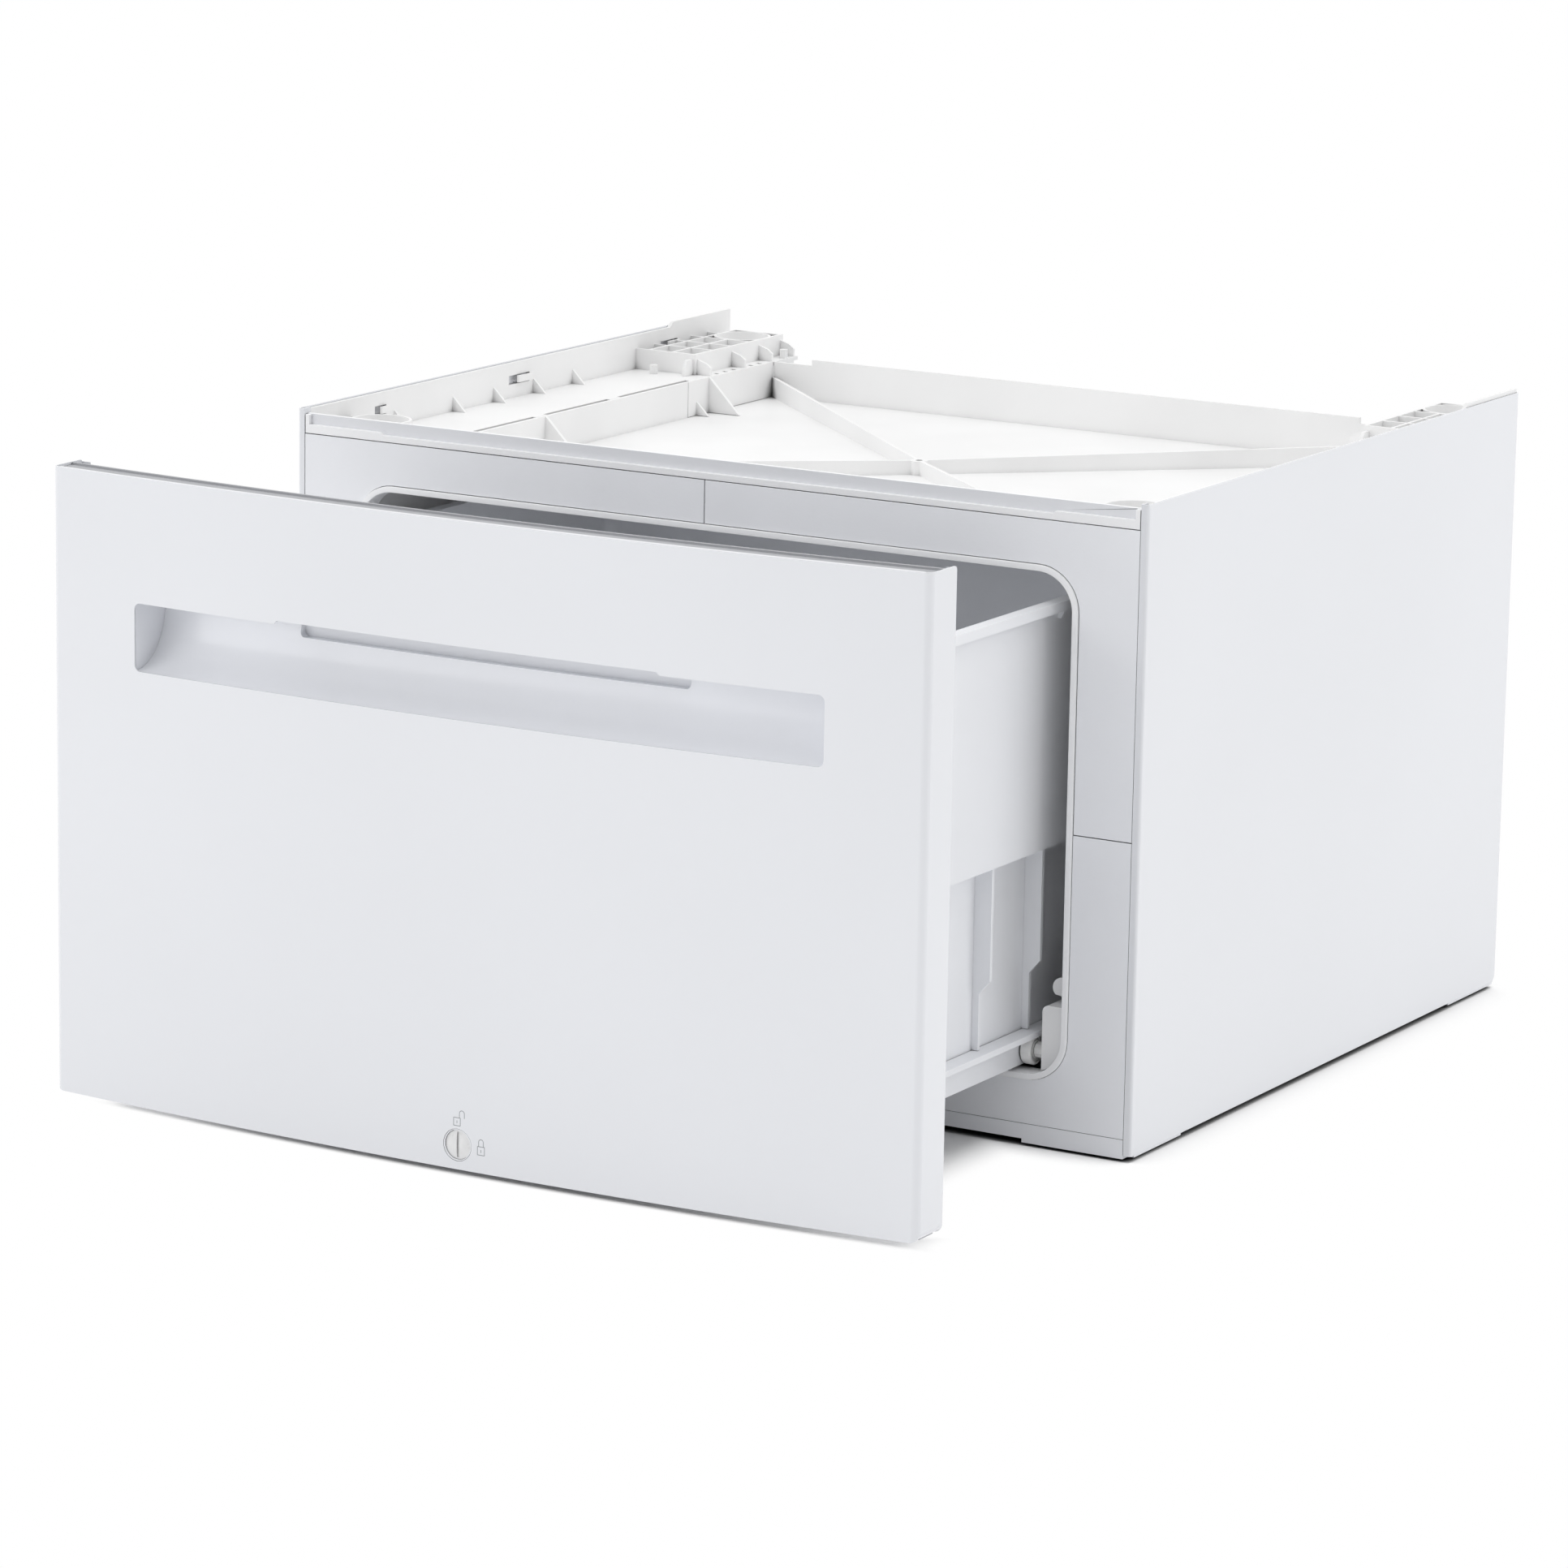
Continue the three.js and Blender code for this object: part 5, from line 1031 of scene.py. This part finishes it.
# The line of sight that passes just under the face meets the floor this far behind the face.
sight = (skin_low[1] - CAMERA_PLACE[1]) * skin_low[2] / (CAMERA_PLACE[2] - skin_low[2])
shade_start = skin_low[1] + sight - FACE_LINE


def open_sky(tree, distance):
    made = tree.nodes.new("ShaderNodeAmbientOcclusion")
    made.inputs["Distance"].default_value = distance
    return made.outputs["AO"]


def inverse(tree, value):
    return math_node(tree, "SUBTRACT", 1.0, value)


def under_cabinet(tree, ground):
    inside = 1.0
    for axis in (0, 1):
        centre = (base_low[axis] + base_high[axis]) / 2
        half = (base_high[axis] - base_low[axis]) / 2
        within = math_node(tree, "COMPARE", ground[axis], centre, half)
        inside = math_node(tree, "MULTIPLY", within, inside)
    return inside


def shade_near(tree, ground, near_sky):
    across = math_node(tree, "ABSOLUTE", ground[0])
    bow = math_node(tree, "DIVIDE", math_node(tree, "POWER", across, 2.0), 2 * FACE_BOW)
    depth = math_node(tree, "SUBTRACT", ground[1], bow)
    past_line = map_range(tree, depth, *[shade_start + n * FACE_LINE for n in PAST_LINE], smooth=True)
    beside_drawer = map_range(tree, across, *DRAWER_SHADE, smooth=True)
    beside_drawer = math_node(tree, "MULTIPLY", beside_drawer, past_line)
    beside_face = map_range(tree, across, *FACE_END, smooth=True)
    beside = math_node(tree, "MAXIMUM", beside_drawer, beside_face)
    no_drawer = map_range(tree, open_sky(tree, DRAWER_REACH), *DRAWER_OPEN, smooth=True)
    no_drawer = math_node(tree, "MAXIMUM", no_drawer, beside)
    away = map_range(tree, near_sky, *SHADOW_OPEN, smooth=True)
    away = math_node(tree, "MINIMUM", away, no_drawer)
    behind = map_range(tree, depth, shade_start - FACE_LINE / 2, shade_start + FACE_LINE / 2, smooth=True)
    return math_node(tree, "MULTIPLY", inverse(tree, away), behind)


# %% Floor
def make_floor_material():
    material = bpy.data.materials.new("studio floor")
    material.use_nodes = True
    tree = material.node_tree
    tree.nodes.remove(tree.nodes["Principled BSDF"])
    place = tree.nodes.new("ShaderNodeTexCoord")
    split = tree.nodes.new("ShaderNodeSeparateXYZ")
    tree.links.new(place.outputs["Object"], split.inputs[0])
    near_sky = open_sky(tree, SHADOW_REACH)
    lit = tree.nodes.new("ShaderNodeBsdfDiffuse")
    # painted shade: the lit floor's colour darkens where the object closes the sky over it
    tree.links.new(map_range(tree, near_sky, *UNDER_OPEN), lit.inputs["Color"])
    plain = tree.nodes.new("ShaderNodeEmission")
    outdoors = inverse(tree, under_cabinet(tree, split.outputs))
    unshaded = inverse(tree, shade_near(tree, split.outputs, near_sky))
    rays = tree.nodes.new("ShaderNodeLightPath")
    seen = math_node(tree, "MAXIMUM", rays.outputs["Is Camera Ray"], rays.outputs["Is Glossy Ray"])
    share = math_node(tree, "MULTIPLY", math_node(tree, "MULTIPLY", seen, unshaded), outdoors)
    mix = tree.nodes.new("ShaderNodeMixShader")
    feed(tree, mix.inputs, (share, lit.outputs[0], plain.outputs[0]))
    tree.links.new(mix.outputs[0], tree.nodes["Material Output"].inputs["Surface"])
    return material


floor_mesh = bpy.data.meshes.new("floor")
SQUARE = ((-1, -1), (1, -1), (1, 1), (-1, 1))
corners = [(x * FLOOR_HALF, y * FLOOR_HALF, 0) for x, y in SQUARE]
floor_mesh.from_pydata(corners, [], [(0, 1, 2, 3)])
floor_mesh.materials.append(make_floor_material())
link_piece("floor", floor_mesh)
print("floor ready")

# %% [markdown]
# ### World and lamps
# The world is plain white to the camera and in reflections, and a little softer to
# everything else. A dark flag at the front right takes light and reflections from the bends
# that face it, so the edge of the drawer's front shows as a slightly darker band. Three
# softboxes do the rest: one overhead, one at the front left and one at the right.

# %% World
WORLD_LEVEL = 0.84
FLAG_TURN = math.radians(42)  # from straight ahead of the object towards its right
FLAG_EDGE = (0.72, 0.96)  # cosine of the angle from its middle, at its edge and where it is full
FLAG_SHARE = 0.1  # of the world's light that is left there
world = bpy.data.worlds.new("studio")
bpy.context.scene.world = world
world.use_nodes = True
tree = world.node_tree
back = tree.nodes["Background"]
back.inputs["Color"].default_value = (1.0, 1.0, 1.0, 1.0)
way = tree.nodes.new("ShaderNodeTexCoord")
along_flag = tree.nodes.new("ShaderNodeVectorMath")
along_flag.operation = "DOT_PRODUCT"
to_flag = (math.sin(FLAG_TURN), -math.cos(FLAG_TURN), 0.0)
feed(tree, along_flag.inputs, (way.outputs["Generated"], to_flag))
flagged = map_range(tree, along_flag.outputs["Value"], *FLAG_EDGE, 1.0, FLAG_SHARE, smooth=True)
rays = tree.nodes.new("ShaderNodeLightPath")
seen = math_node(tree, "ADD", rays.outputs["Is Camera Ray"], rays.outputs["Is Glossy Ray"])
level = map_range(tree, seen, 0.0, 1.0, WORLD_LEVEL, 1.0)
unflagged = math_node(tree, "MAXIMUM", flagged, rays.outputs["Is Camera Ray"])
tree.links.new(math_node(tree, "MULTIPLY", level, unflagged), back.inputs["Strength"])
print("world level", WORLD_LEVEL)

# %% Lamps
AIM = (0, 0, 0.2)
REAR_AIM = (0, 0.3, 0.2)


def softbox(name, place, target, size, power):
    data = bpy.data.lights.new(name, "AREA")
    data.shape = "RECTANGLE"
    data.size, data.size_y = size
    data.energy = power
    lamp = link_piece(name, data)
    lamp.location = place
    lamp.rotation_euler = (Vector(target) - Vector(place)).to_track_quat("-Z", "Y").to_euler()


softbox("overhead", place=(0.0, 0.0, 3.2), target=AIM, size=(3.5, 3.5), power=24)
softbox("front left", place=(-2.6, -3.4, 1.5), target=AIM, size=(2.4, 2.2), power=24)
softbox("right", place=(3.6, 1.6, 1.6), target=REAR_AIM, size=(2.4, 2.4), power=19)
bpy.context.scene.view_settings.view_transform = "Standard"
